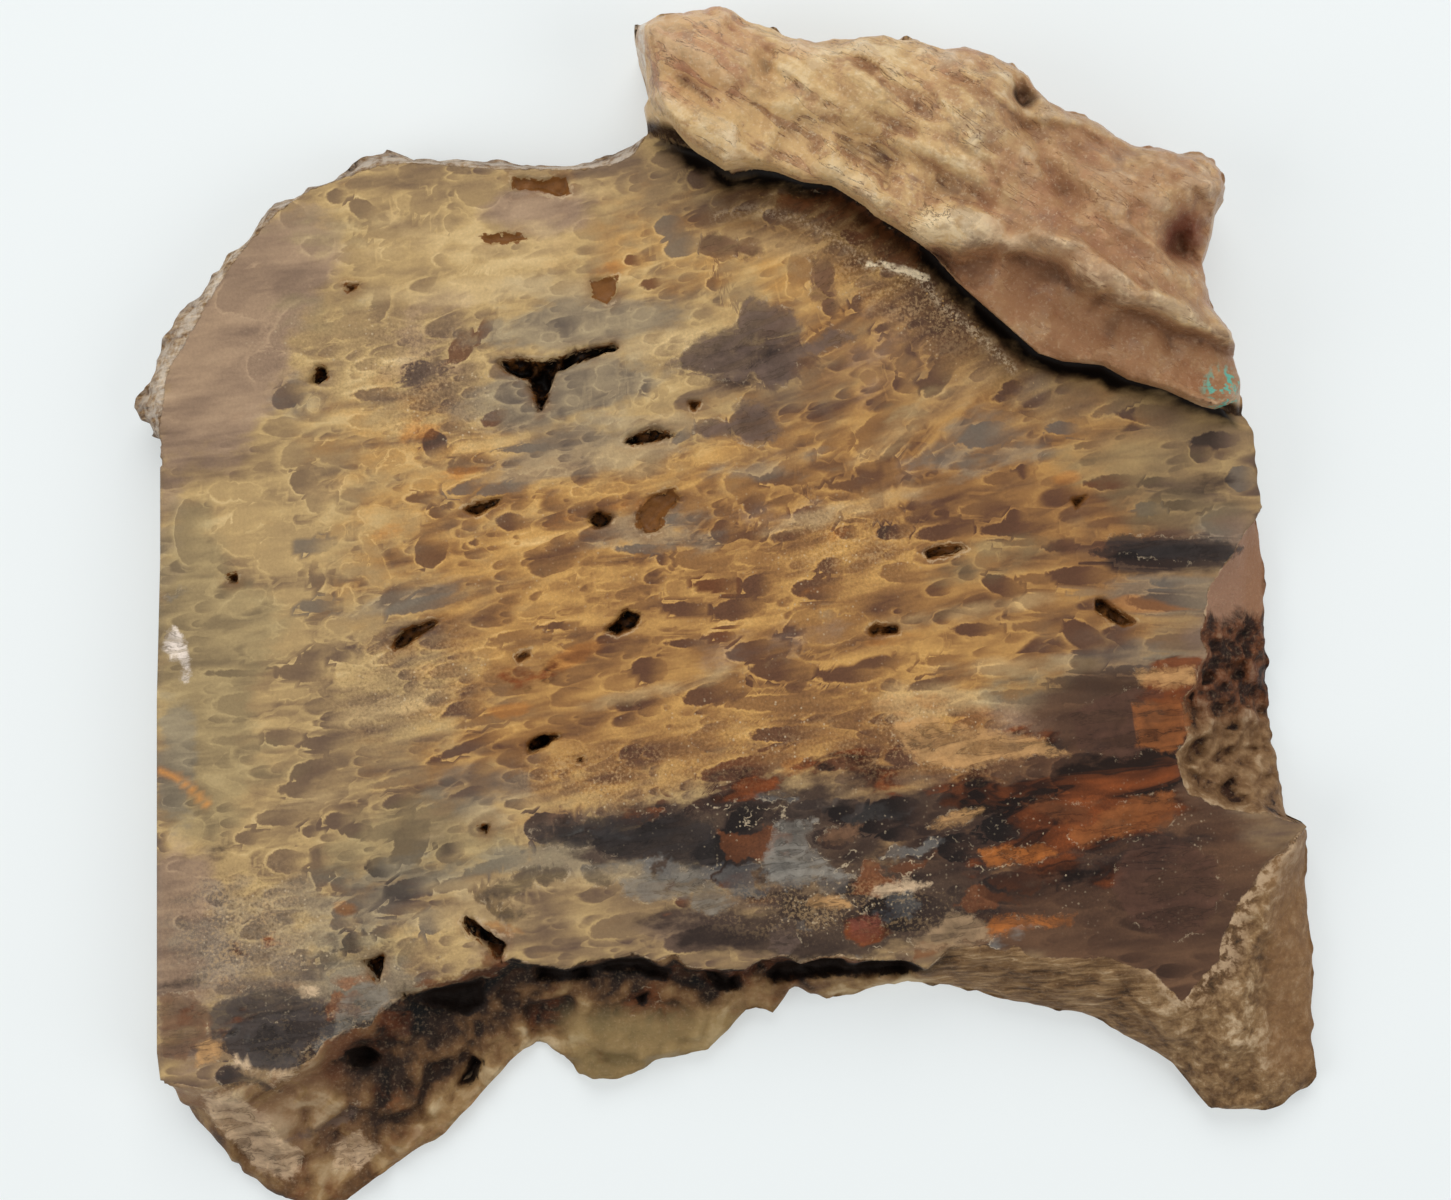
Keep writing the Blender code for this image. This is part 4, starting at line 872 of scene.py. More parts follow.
# Soft oval stains: middle, half length and half width, angle in degrees, strength
stains = {
    "warm": [
        (8, 6, 44, 22, 8, 0.9), (-10, -8, 30, 12, 12, 0.7), (42, 12, 28, 20, -10, 0.7),
        (34, -16, 30, 9, 0, 1.0), (-36, 12, 22, 12, 15, 0.5), (20, 46, 20, 12, -35, 0.6),
        (-10, 54, 16, 8, 0, 0.4), (-48, 26, 14, 8, 0, 0.4), (45, -34, 26, 8, 0, 0.8),
        (-20, -22, 30, 8, 8, 0.5), (-70, -48, 10, 8, 0, 0.4),
    ],
    "shade": [
        (22, -40, 50, 11, 3, 0.5), (55, -27, 32, 13, 0, 0.45), (55, 8, 34, 26, 0, 0.25),
        (-55, -62, 26, 8, 10, 0.6), (40, 25, 36, 14, -30, 0.3), (-5, 62, 12, 6, -20, 0.4),
        (68, 5, 12, 20, 0, 0.4), (0, -30, 30, 8, 8, 0.3), (-30, -18, 24, 10, 15, 0.2),
        (8, 35, 12, 8, 0, 0.3), (62, -41, 24, 14, 0, 1.0), (0, 2, 34, 20, 12, 0.15),
        (66, -20, 15, 10, 0, 1.0),
    ],
    "light": [
        (-50, 52, 30, 13, 8, 0.6), (-20, 55, 22, 8, 0, 0.6), (-60, 20, 18, 22, 0, 0.35),
        (-5, 42, 14, 6, 20, 0.4), (-74, -15, 10, 30, 0, 0.35), (10, 50, 10, 5, 0, 0.3),
        (-30, -37, 16, 4, 5, 0.4), (-5, 25, 10, 6, 0, 0.3), (-70, -45, 12, 10, 0, 0.3),
        (-74, 38, 12, 18, -20, 0.5), (10, 20, 20, 10, 0, 0.2),
    ],
    "rough": [
        (-72, -47, 9, 9, 20, 1.0), (-48, -10, 10, 7, 15, 0.8), (18, 10, 9, 5, 0, 0.8),
        (30, -19, 12, 5, 0, 0.9), (-52, -62, 16, 5, 8, 0.8), (24, 50, 14, 5, -38, 0.9),
        (-20, -24, 9, 4, 0, 0.9), (-46, 36, 8, 7, 0, 0.8), (16, -44, 16, 4, 0, 0.7),
        (0, -20, 16, 5, 8, 0.4),
    ],
    "rust": [
        (58, -24, 12, 3.5, 15, 0.9), (66, -20, 9, 4, 55, 1.0), (43, -28, 10, 3, -5, 0.8),
        (58, -31, 12, 3, 8, 0.7), (66, -10, 5, 4, 20, 0.7), (30, -25, 10, 2.5, 12, 0.4),
        (6, -25, 12, 2.5, 15, 0.45), (22, -22, 8, 2.5, 10, 0.4), (-75, -61, 8, 5, 0, 0.35),
        (20.5, -47, 3.5, 2.2, 0, 1.0), (50, -37, 14, 4, 0, 0.5), (72, -14, 3, 8, 0, 0.6),
        (-29, -9, 6, 2, 20, 0.5), (-70, -49, 5, 3, 0, 0.3), (15, 62, 10, 2, -20, 0.5),
        (45, -18, 8, 2, 0, 0.4),
    ],
    "orange": [
        (-23, -6.5, 5, 1.4, 25, 0.9), (-32, -14.5, 3, 1.4, 5, 1.0), (38, -25.3, 6, 1.2, -3, 0.9),
        (45, -34.8, 6, 1.3, 3, 0.9), (-13, 16, 4, 1.2, 5, 0.6), (27, -13, 6, 2.4, 0, 0.5),
        (60, 1.2, 5, 1.2, 0, 0.7), (66, 0.6, 5, 0.6, 0, 0.7), (65, -11, 4, 2, 0, 0.6),
        (-57, -44, 2, 1.5, 0, 0.6), (10, -23, 3, 1.5, 10, 0.8), (-46, 27, 4, 1.8, 10, 0.6),
        (-40, 21, 4, 1.2, 10, 0.7), (-50, 12, 3, 2, 0, 0.5), (-18, 51, 3, 1.5, 0, 0.4),
        (59, -22.5, 7, 1.2, 20, 0.8), (17, 12, 4, 1, 15, 0.5), (50, 20, 3, 1, 10, 0.6),
        (-25, 14, 3, 2, 0, 0.5), (36, -16, 5, 2, 0, 0.6), (-34, -47, 4, 1, -15, 0.5),
        (5, -43, 3, 1, 0, 0.5), (16, 4, 8, 0.9, 15, 0.4), (-17, 30, 2, 1, 0, 0.4), (25, -4, 6, 1, 10, 0.4),
    ],
    "dark": [
        (3, -33, 26, 4.5, 2, 1.0), (26, -42, 15, 7, 5, 1.0), (33, -28, 12, 3, 10, 0.9),
        (-62, -63, 10, 5, 8, 1.0), (2, 37, 9, 4, 10, 0.45), (68, 8, 12, 2.2, 2, 1.0),
        (10, -48, 14, 3, 0, 1.0), (62, -33, 10, 5, 0, 0.5), (42, -31, 14, 3, 5, 0.9),
        (72, 19, 5, 3, 0, 0.5), (-32, -55, 8, 2, 0, 0.7), (52, -20, 10, 4, -10, 0.4),
        (8, -26, 20, 4, 10, 0.6), (-60, -47, 8, 5, 20, 0.3), (0, -39, 10, 3, 0, 0.5),
        (52, -37, 14, 4, 0, 0.6), (-2, -46, 12, 4, 5, 0.5), (-82, -56, 4, 3, 0, 0.4),
        (-75, -36, 3, 2.5, 0, 0.3),
    ],
    "blue": [
        (-22, 43, 16, 3, 6, 0.9), (-25, 33, 15, 5, 12, 0.9), (-20, 24, 16, 4, 12, 0.8),
        (-12, 13, 10, 3, 10, 0.7), (-15, -36, 20, 3, 2, 1.0), (10, -34, 3.5, 6, 0, 1.0),
        (-37, -27, 9, 5, 15, 0.6), (-53, -57, 8, 5, 10, 1.0), (66, 2.5, 10, 3, 0, 0.9),
        (60, -7, 12, 3, 0, 0.6), (-48, 2, 10, 2, 15, 0.7), (-68, -58, 10, 4, 10, 0.5),
        (38, 25, 10, 5, 10, 0.6), (-50, -42, 12, 6, 15, 0.6), (-64, 32, 6, 4, 30, 0.4),
        (-28, 48, 10, 3, 0, 0.5), (-82, -22, 3, 10, 0, 0.8), (-70, -48, 13, 9, 10, 0.7),
        (7, 22, 10, 3, 10, 0.5), (-6, 10, 8, 2, 10, 0.5), (72, 12, 6, 3, 0, 0.5), (-14, -38, 14, 2, 0, 0.6),
        (50, -12, 12, 3, 0, 0.5),
    ],
    "mauve": [
        (-75, 36, 9, 15, -25, 1.0), (-66, 52, 10, 7, 40, 0.9), (48, -16, 12, 5, -3, 0.7),
        (-83, 10, 3, 14, 0, 0.4), (-28, 60, 8, 4, 0, 0.9), (-42, 46, 8, 4, 20, 0.4), (74, 12, 5, 4, 0, 0.7),
        (72, -5, 5, 5, 0, 0.6), (-10, 58, 6, 5, 0, 0.2), (25, 40, 14, 8, 40, 0.4), (-45, 38, 9, 4, 0, 0.4),
        (-36, -50, 7, 3, 0, 0.4), (5, 14, 10, 3, 10, 0.4), (-78, -66, 6, 5, 0, 0.5),
        (-82, -47, 7, 13, 0, 0.9), (-70, -53, 9, 5, 10, 0.5), (5, -5, 16, 4, 12, 0.4),
        (30, 20, 14, 5, 20, 0.35), (-5, -47, 10, 3, 8, 0.6),
    ],
    "umber": [
        (68, -44, 15, 14, 20, 1.0), (50, -46, 17, 5, 0, 1.0), (72, -56, 4, 8, -20, 1.0),
        (52, -38, 14, 5, 0, 0.8), (50, -24, 16, 5, -5, 0.7), (-5, -28, 22, 5, 10, 0.4),
        (58, -15, 14, 7, 0, 0.85), (66, -28, 9, 5, 0, 0.9), (-70, -57, 10, 5, 10, 0.4),
        (3, 38, 8, 4, 20, 0.4), (30, 42, 12, 6, -40, 0.4),
    ],
    "chips": [
        (10, -36, 24, 7, 0, 0.9), (27, -45, 16, 6, 0, 1.0), (-62, -61, 14, 6, 8, 0.8),
        (40, -36, 16, 6, 0, 0.7), (-4, -31, 22, 4, 8, 0.5),
    ],
    "olive": [
        (-78, -12, 7, 18, 0, 0.9), (-80, 8, 5, 10, 0, 0.7), (-74, -2, 10, 7, 0, 0.7),
        (-70, -22, 10, 6, 10, 0.4), (52, -12, 16, 4, 0, 0.7), (40, 8, 14, 4, 5, 0.5),
        (60, 22, 12, 5, 0, 0.6), (-60, 57, 10, 4, 0, 0.5), (-60, 45, 12, 5, 0, 0.4),
        (-15, 30, 14, 4, 10, 0.3), (-48, -34, 14, 7, 15, 0.7), (68, 15, 10, 4, 0, 0.6),
        (30, 33, 10, 6, 35, 0.4), (-55, -50, 10, 4, 0, 0.6), (-30, -36, 12, 3, 5, 0.5),
        (-78, -30, 6, 5, 0, 0.5),
    ],
    "sparkle": [
        (26, 50, 24, 7, -38, 1.0), (-70, -47, 10, 7, 20, 1.0), (-46, -11, 10, 7, 15, 1.0),
        (-47, 36, 12, 8, 0, 0.8), (18, 10, 9, 6, 0, 1.0), (10, -18, 26, 8, 5, 0.9), (12, 4, 14, 10, 0, 0.6),
        (0, -33, 26, 6, 0, 0.8), (32, -20, 12, 6, 0, 1.0), (50, -32, 18, 6, 0, 0.7),
        (-15, -25, 12, 5, 0, 1.0), (-42, 28, 9, 6, 0, 0.8), (20, -43, 16, 6, 0, 1.0),
        (-60, -55, 20, 8, 8, 0.9), (60, -38, 14, 8, 0, 0.8), (0, 38, 10, 4, 0, 0.8),
        (-62, 40, 10, 6, 0, 0.6), (-20, 10, 30, 14, 10, 0.4),
    ],
    "cream": [
        (-55, 56, 16, 5, 5, 0.4), (-30, 55, 12, 4, 0, 0.5), (-35, 48, 18, 2, 3, 0.8),
        (-50, -14, 10, 2, 15, 0.6), (-12, 27, 12, 3, 15, 0.5), (-10, 40, 8, 2.5, 10, 0.6),
        (30, 30, 16, 3, 35, 0.5), (-14, 22, 6, 2.5, 0, 0.6), (5, 55, 14, 2.5, -5, 0.5),
        (-62, -28, 10, 2, 15, 0.5), (-35, -45, 14, 2.5, 0, 0.7), (45, -8, 14, 2, 0, 0.5),
        (-28, -40, 18, 1.5, 4, 0.7), (-8, -11, 20, 1.5, 14, 0.5), (20, 16, 18, 2, 16, 0.5),
        (30, -13, 9, 3, -2, 0.8), (-22, 63, 6, 2, 0, 0.5), (-60, 18, 8, 3, 0, 0.3), (36, 0, 18, 2, 8, 0.5),
        (-35, -30, 12, 2, 15, 0.5),
    ],
}

# Marks on the stone that don't follow the coral: the width of each and the line it follows
marks = {
    "saw": (0.5, [(21, 51.8), (24.6, 51.6), (28, 50), (29.7, 48.3), (31.4, 46), (34.8, 43.2), (38.5, 40),
                  (42.5, 36)]),
    "arc": (0.6, [(-2, 59), (4, 60), (11, 58.5), (17, 55), (21, 51.5)]),
    "bar": (0.45, [(20.8, 52.1), (23.4, 51.9), (26.5, 50.9), (29.6, 49.3)]),
    "hair": (0.5, [(-84.5, -23.5), (-82, -24.5), (-80, -26), (-77.5, -28.5)]),
}


# Each point's place along and across an oval with the given middle and angle
def ovalPlace(x, y, cx, cy, angle):
    turn = math.radians(angle)
    across = (y - cy) * math.cos(turn) - (x - cx) * math.sin(turn)
    return (x - cx) * math.cos(turn) + (y - cy) * math.sin(turn), across


def stainOf(x, y, name):
    clear = np.ones(x.shape)
    for cx, cy, long, wide, angle, strength in stains[name]:
        u, v = ovalPlace(x, y, cx, cy, angle)
        clear *= 1 - strength * softStep(1.7, 0.3, np.hypot(u / long, v / wide))
    return 1 - clear


# For each point: distance to the nearest cell's edge, negative inside, its darkness and hue, and the
# point's place in that cell, drawn in along its length until the cell is round, with the round's radius
def nearestCell(x, y):
    edge, dark, hue = np.full(x.shape, 9.0), np.full(x.shape, 0.5), np.full(x.shape, 0.5)
    place = np.full((len(x), 3), 9.0)
    for kind, places in cells.items():
        for cx, cy, long, wide, angle in places:
            u, v = ovalPlace(x, y, cx, cy, angle)
            reach = np.hypot(u / long, v / wide)
            away = reach * (reach - 1) / np.maximum(np.hypot(u / long**2, v / wide**2), 1e-4)
            closer = away < edge
            edge = np.where(closer, away, edge)
            dark = np.where(closer, cellLooks[kind][0], dark)
            hue = np.where(closer, cellLooks[kind][1], hue)
            place[closer] = np.stack([u * wide / long, v, 0 * v + wide], axis=1)[closer]
    return edge, dark, hue, place


# The distance, in millimetres, over which a colour channel keeps each kind of distance
spans = {"near": 6.0, "ridge": 20.0, "sunk": 3.0}
farAway = 9.0


# A distance as a colour channel: a half where it is 0
def asChannel(distance, span):
    return np.clip(distance / span + 0.5, 0, 1)


def putColours(mesh, name, *channels):
    putAttribute(mesh, name, "FLOAT_COLOR", np.stack([np.asarray(c, float) for c in channels], axis=1))


def putZones(mesh, x, y, zones, sunk, back):
    front, away = 1 - back, farAway * back
    near = spans["near"]
    natural = (zones["ridge"] | zones["lower"] | zones["notch"] | zones["rind"]) & (back < 0.5)
    toNatural = np.min([zones[name] for name in ("toFoot", "toLower", "toNotch", "toRind")], axis=0)
    sawn = np.where(natural, -toNatural, toNatural) + away
    lower = zones["lower"]
    putColours(mesh, "zone", asChannel(sawn, near), zones["ridge"] * front,
               lower * shareOutwards(zones, "toLower"), asChannel(zones["toVug"] + away, near))
    putColours(mesh, "kinds", lower * softStep(36, 26, x), lower * softStep(26, 36, x), zones["notch"],
               asChannel(zones["toCrevice"], near))
    patchTones = np.array([patchColours[name][:3] for name, _ in patches])[zones["patch"]].T
    putColours(mesh, "patch", *patchTones, asChannel(zones["toPatch"] + away, near))
    foot = np.where(zones["ridge"], zones["toFoot"], -zones["toFoot"])
    putColours(mesh, "ridge", asChannel(foot - 30 * back, spans["ridge"]),
               asChannel(tierDistance(x, y), spans["ridge"]), softStep(-15, 75, x), zones["rind"])
    shades = [stainOf(x, y, name) for name in ("shade", "light", "rough")]
    putColours(mesh, "relief", asChannel(sunk, spans["sunk"]), *shades)


def putMarks(mesh, x, y, zones, front):
    line = {name: bell(lineDistance(x, y, corners), width) for name, (width, corners) in marks.items()}
    saw = np.maximum(line["saw"] * (0.6 + 0.6 * softStep(31, 28, x)), 0.4 * line["arc"])
    # painted shade on the sawn face below the ridge's foot
    shadeBelowRidge = softStep(12, 1, zones["toFoot"]) * softStep(-8, 6, x) * softStep(56, 40, x)
    putColours(mesh, "marks", saw * front, shadeBelowRidge * front, line["hair"] * front, line["bar"] * front)


def makeStone():
    points, flat, polygons = stoneSurface()
    mesh, used = meshFrom("coral_stone", points, polygons)
    x, y, sunk, back = flat[used].T
    zones = zonesOf(x, y)
    u, v = grainOf(x, y)
    depth = slab["face"] - points[used][:, 2]
    putAttribute(mesh, "grain", "FLOAT_VECTOR", np.stack([u, v, depth], axis=1))
    putZones(mesh, x, y, zones, sunk, back)
    putMarks(mesh, x, y, zones, 1 - back)
    putColours(mesh, "stainA", *(stainOf(x, y, name) for name in ("rust", "dark", "blue", "mauve")))
    putColours(mesh, "stainB", *(stainOf(x, y, name) for name in ("sparkle", "cream", "orange", "olive")))
    # where the painted shadow in the groove below the ridge's lip may lie
    overGroove = softStep(-13, -6, x) * softStep(0.5, 3, zones["toOutline"])
    putColours(mesh, "stainsAndGapShadow", stainOf(x, y, "umber"), stainOf(x, y, "chips"), overGroove, 0 * x)
    edge, dark, hue, inCell = nearestCell(x, y)
    away = asChannel(edge + farAway * back, spans["near"])
    putColours(mesh, "cell", away, dark, stainOf(x, y, "warm"), hue)
    putAttribute(mesh, "inCell", "FLOAT_VECTOR", inCell)
    stone = bpy.data.objects.new("coral_stone", mesh)
    bpy.context.scene.collection.objects.link(stone)
    print("stone:", len(mesh.vertices), "points,", len(mesh.loops) - 2 * len(mesh.polygons), "triangles")
    return stone


def addNode(tree, kind, values=(), **settings):
    node = tree.nodes.new("ShaderNode" + kind)
    for name, value in settings.items():
        setattr(node, name, value)
    for name, value in dict(values).items():
        plug(tree, node.inputs[name], value)
    return node


# Gives a socket a link or a fixed value
def plug(tree, socket, value):
    if isinstance(value, bpy.types.NodeSocket):
        tree.links.new(value, socket)
    else:
        socket.default_value = value


def calc(tree, operation, *values, clamp=False):
    return addNode(tree, "Math", enumerate(values), operation=operation, use_clamp=clamp).outputs[0]


def times(tree, *values):
    total = values[0]
    for value in values[1:]:
        total = calc(tree, "MULTIPLY", total, value)
    return total


def vectorCalc(tree, operation, *values):
    return addNode(tree, "VectorMath", enumerate(values), operation=operation).outputs["Vector"]


def scaled(tree, vector, factor):
    values = {"Vector": vector, "Scale": factor}
    return addNode(tree, "VectorMath", values, operation="SCALE").outputs["Vector"]


def partsOf(tree, vector):
    return addNode(tree, "SeparateXYZ", {0: vector}).outputs


def channelsOf(tree, colour):
    return addNode(tree, "SeparateColor", {0: colour}).outputs


# How far a value is from a middle
def offBy(tree, value, middle):
    return calc(tree, "ABSOLUTE", calc(tree, "SUBTRACT", value, middle))


# A value from 0 to 1, such as a noise or a channel that keeps a distance, laid about 0 over a span
def centred(tree, value, span):
    return calc(tree, "MULTIPLY", calc(tree, "SUBTRACT", value, 0.5), span)


# A value moved up and down by a noise
def swayed(tree, value, noise, span):
    return calc(tree, "MULTIPLY_ADD", calc(tree, "SUBTRACT", noise, 0.5), span, value)


def timesPlus(tree, value, factor, amount, clamp=False):
    return calc(tree, "MULTIPLY_ADD", value, factor, amount, clamp=clamp)


def plus(tree, first, *others, clamp=False):
    for value in others:
        first = calc(tree, "ADD", first, value, clamp=clamp and value is others[-1])
    return first


# 0 where value is at low, 1 where it is at high, with a soft ramp between
def rampOf(tree, value, low, high):
    values = {"Value": value, "From Min": low, "From Max": high}
    return addNode(tree, "MapRange", values, interpolation_type="SMOOTHSTEP").outputs[0]


# Moves a value part of the way to a target
def towards(tree, value, target, share):
    return calc(tree, "MULTIPLY_ADD", share, calc(tree, "SUBTRACT", target, value), value)


# A colour for each value from 0 to 1, by stops of place and colour
def colourRamp(tree, value, stops):
    node = addNode(tree, "ValToRGB", {0: value})
    elements = node.color_ramp.elements
    while len(elements) < len(stops):
        elements.new(0.5)
    for element, (place, colour) in zip(elements, stops):
        element.position, element.color = place, colour
    return node.outputs[0]


def blend(tree, share, first, second, way="MIX"):
    node = addNode(tree, "Mix", data_type="RGBA", blend_type=way)
    for place, value in ((0, share), (6, first), (7, second)):
        plug(tree, node.inputs[place], value)
    return node.outputs[2]


# Colours laid on a ground one after another, each by the product of its masks
def layered(tree, ground, *layers):
    for colour, *masks in layers:
        ground = blend(tree, times(tree, *masks), ground, colour)
    return ground


def shaded(tree, colour, light):
    grey = addNode(tree, "CombineColor", {0: light, 1: light, 2: light}).outputs[0]
    return blend(tree, 1.0, colour, grey, "MULTIPLY")


def noiseOf(tree, vector, scale, detail=3.0, rough=0.55, warp=0.0, output=0):
    values = {"Vector": vector, "Scale": scale, "Detail": detail, "Roughness": rough, "Distortion": warp}
    return addNode(tree, "TexNoise", values, noise_dimensions="3D").outputs[output]


# A place divided by a length, a width and a depth
def stretch(tree, vector, size, shift=0.0):
    values = {"Vector": vector, "Location": (shift, shift, 0), "Scale": [1 / side for side in size]}
    return addNode(tree, "Mapping", values).outputs[0]


# A noise drawn out along the coral's growth
def grainNoise(tree, grainPlace, size, shift, *rest):
    return noiseOf(tree, stretch(tree, grainPlace, size, shift), 1.0, *rest)


# A place pushed about by a noise
def warped(tree, place, noisePlace, scale, amount):
    noise = noiseOf(tree, noisePlace, scale, 3.0, 0.6, output=1)
    push = vectorCalc(tree, "SUBTRACT", noise, (0.5, 0.5, 0.5))
    return vectorCalc(tree, "ADD", place, scaled(tree, push, amount))


def voronoiOf(tree, vector, scale=1.0, dimensions="2D", feature="F1"):
    values = {"Vector": vector, "Scale": scale}
    return addNode(tree, "TexVoronoi", values, voronoi_dimensions=dimensions, feature=feature).outputs


def newGroup(name, inputs, outputs):
    group = bpy.data.node_groups.new(name, "ShaderNodeTree")
    for label, kind, value in inputs:
        socket = group.interface.new_socket(label, in_out="INPUT", socket_type="NodeSocket" + kind)
        if value is not None:
            socket.default_value = value
    for label, kind in outputs:
        group.interface.new_socket(label, in_out="OUTPUT", socket_type="NodeSocket" + kind)
    return group, group.nodes.new("NodeGroupInput").outputs, group.nodes.new("NodeGroupOutput").inputs


def useGroup(tree, group, **values):
    node = tree.nodes.new("ShaderNodeGroup")
    node.node_tree = group
    for name, value in values.items():
        plug(tree, node.inputs[name], value)
    return node.outputs


# The coral's cells: rounded spots drawn out along the grain, merging into lobes where they meet. Each is
# dark at its left end and fades to the right, and is lit just outside its left end, with a thin bright rim.
def cellsGroup():
    tree, given, result = newGroup("coralCells", [
        ("Grain", "Vector", None), ("Length", "Float", 9.0), ("Width", "Float", 3.0),
        ("Fill", "Float", 0.4), ("Wander", "Float", 0.3), ("Seed", "Float", 0.0),
    ], [("Inside", "Float"), ("Rim", "Float"), ("Glow", "Float"), ("Tone", "Float")])
    link = tree.links.new
    size = addNode(tree, "CombineXYZ", {"X": given["Length"], "Y": given["Width"], "Z": 6.0}).outputs[0]
    offset = addNode(tree, "CombineXYZ", {"X": given["Seed"], "Y": given["Seed"], "Z": 0.0}).outputs[0]
    place = vectorCalc(tree, "ADD", vectorCalc(tree, "DIVIDE", given["Grain"], size), offset)
    place = warped(tree, place, place, 0.9, given["Wander"])
    spots = voronoiOf(tree, place)
    local = partsOf(tree, vectorCalc(tree, "SUBTRACT", place, spots["Position"]))
    random = channelsOf(tree, spots["Color"])
    radius = times(tree, given["Fill"], timesPlus(tree, random[0], 1.6, -0.25))
    edge = calc(tree, "SUBTRACT", spots["Distance"], radius)
    shown = rampOf(tree, radius, 0.04, 0.12)
    fade = rampOf(tree, local["X"], 0.42, -0.25)
    left = rampOf(tree, local["X"], 0.12, -0.18)
    link(times(tree, rampOf(tree, edge, 0.03, -0.05), fade, shown), result["Inside"])
    link(times(tree, rampOf(tree, offBy(tree, edge, 0.06), 0.07, 0.0), left, shown), result["Rim"])
    outside = times(tree, rampOf(tree, edge, 0.32, 0.02), rampOf(tree, edge, -0.02, 0.03))
    link(times(tree, outside, left, shown), result["Glow"])
    link(random[1], result["Tone"])
    return tree


# Loose bright grains, as in dusty or crystalline stone
def specksGroup():
    tree, given, result = newGroup("specks", [
        ("Place", "Vector", None), ("Size", "Float", 0.5), ("Amount", "Float", 0.5),
    ], [("Mask", "Float")])
    grains = voronoiOf(tree, given["Place"], calc(tree, "DIVIDE", 1.0, given["Size"]), "3D")
    random = channelsOf(tree, grains["Color"])
    near = rampOf(tree, grains["Distance"], 0.5, 0.15)
    chosen = rampOf(tree, calc(tree, "ADD", random[0], given["Amount"]), 1.0, 1.15)
    tree.links.new(times(tree, near, chosen), result["Mask"])
    return tree


def attributeOf(tree, name):
    node = addNode(tree, "Attribute", attribute_name=name)
    return *channelsOf(tree, node.outputs["Color"])[:3], node.outputs["Alpha"]


def vectorOf(tree, name):
    return addNode(tree, "Attribute", attribute_name=name).outputs["Vector"]


# How far below the sawn face
def depthBelow(tree, grainPlace):
    return partsOf(tree, grainPlace)[2]


# The distance that a colour channel keeps, in millimetres
def distanceOf(tree, channel, kind="near"):
    return centred(tree, channel, spans[kind])


faceColours = {
    "cool": [
        (0.0, paint(50, 37, 32)), (0.25, paint(104, 82, 66)), (0.5, paint(148, 121, 86)),
        (0.75, paint(190, 159, 108)), (1.0, paint(226, 197, 144)),
    ],
    "warm": [
        (0.0, paint(40, 24, 18)), (0.25, paint(98, 65, 45)), (0.5, paint(150, 107, 62)),
        (0.75, paint(198, 151, 86)), (1.0, paint(232, 192, 128)),
    ],
    "mauve": (paint(66, 48, 42), paint(178, 148, 124)), "olive": (paint(74, 62, 44), paint(176, 156, 114)),
    "blue": (paint(66, 60, 56), paint(160, 150, 130)), "cream": (paint(160, 128, 82), paint(236, 206, 152)),
    "orange": (paint(112, 60, 24), paint(220, 148, 72)), "rust": (paint(22, 8, 3), paint(142, 72, 30)),
    "night": (paint(10, 7, 7), paint(86, 66, 58)), "umber": (paint(34, 19, 13), paint(134, 94, 68)),
    "chipBlue": (paint(44, 44, 50), paint(166, 162, 152)),
    "chipRust": (paint(40, 16, 8), paint(164, 96, 52)),
    "cellBlue": paint(100, 96, 90), "cellBrown": paint(98, 50, 26), "speck": paint(210, 188, 154),
    "bar": paint(232, 212, 176), "dust": paint(190, 156, 110), "gilt": paint(214, 166, 92),
    "deepShade": paint(24, 14, 8), "pitWall": paint(124, 80, 38), "pitRim": paint(206, 178, 140),
    "shadeBelowRidge": paint(74, 46, 24), "gapShadow": paint(20, 13, 8),
}

# Cells that fill the gaps between the placed ones: length, width, fill, seed, strength
fillings = [(17, 6, 0.52, 3.3, 0.6), (9, 3.4, 0.46, 9.1, 0.65), (4.2, 2.0, 0.4, 17.7, 0.5)]


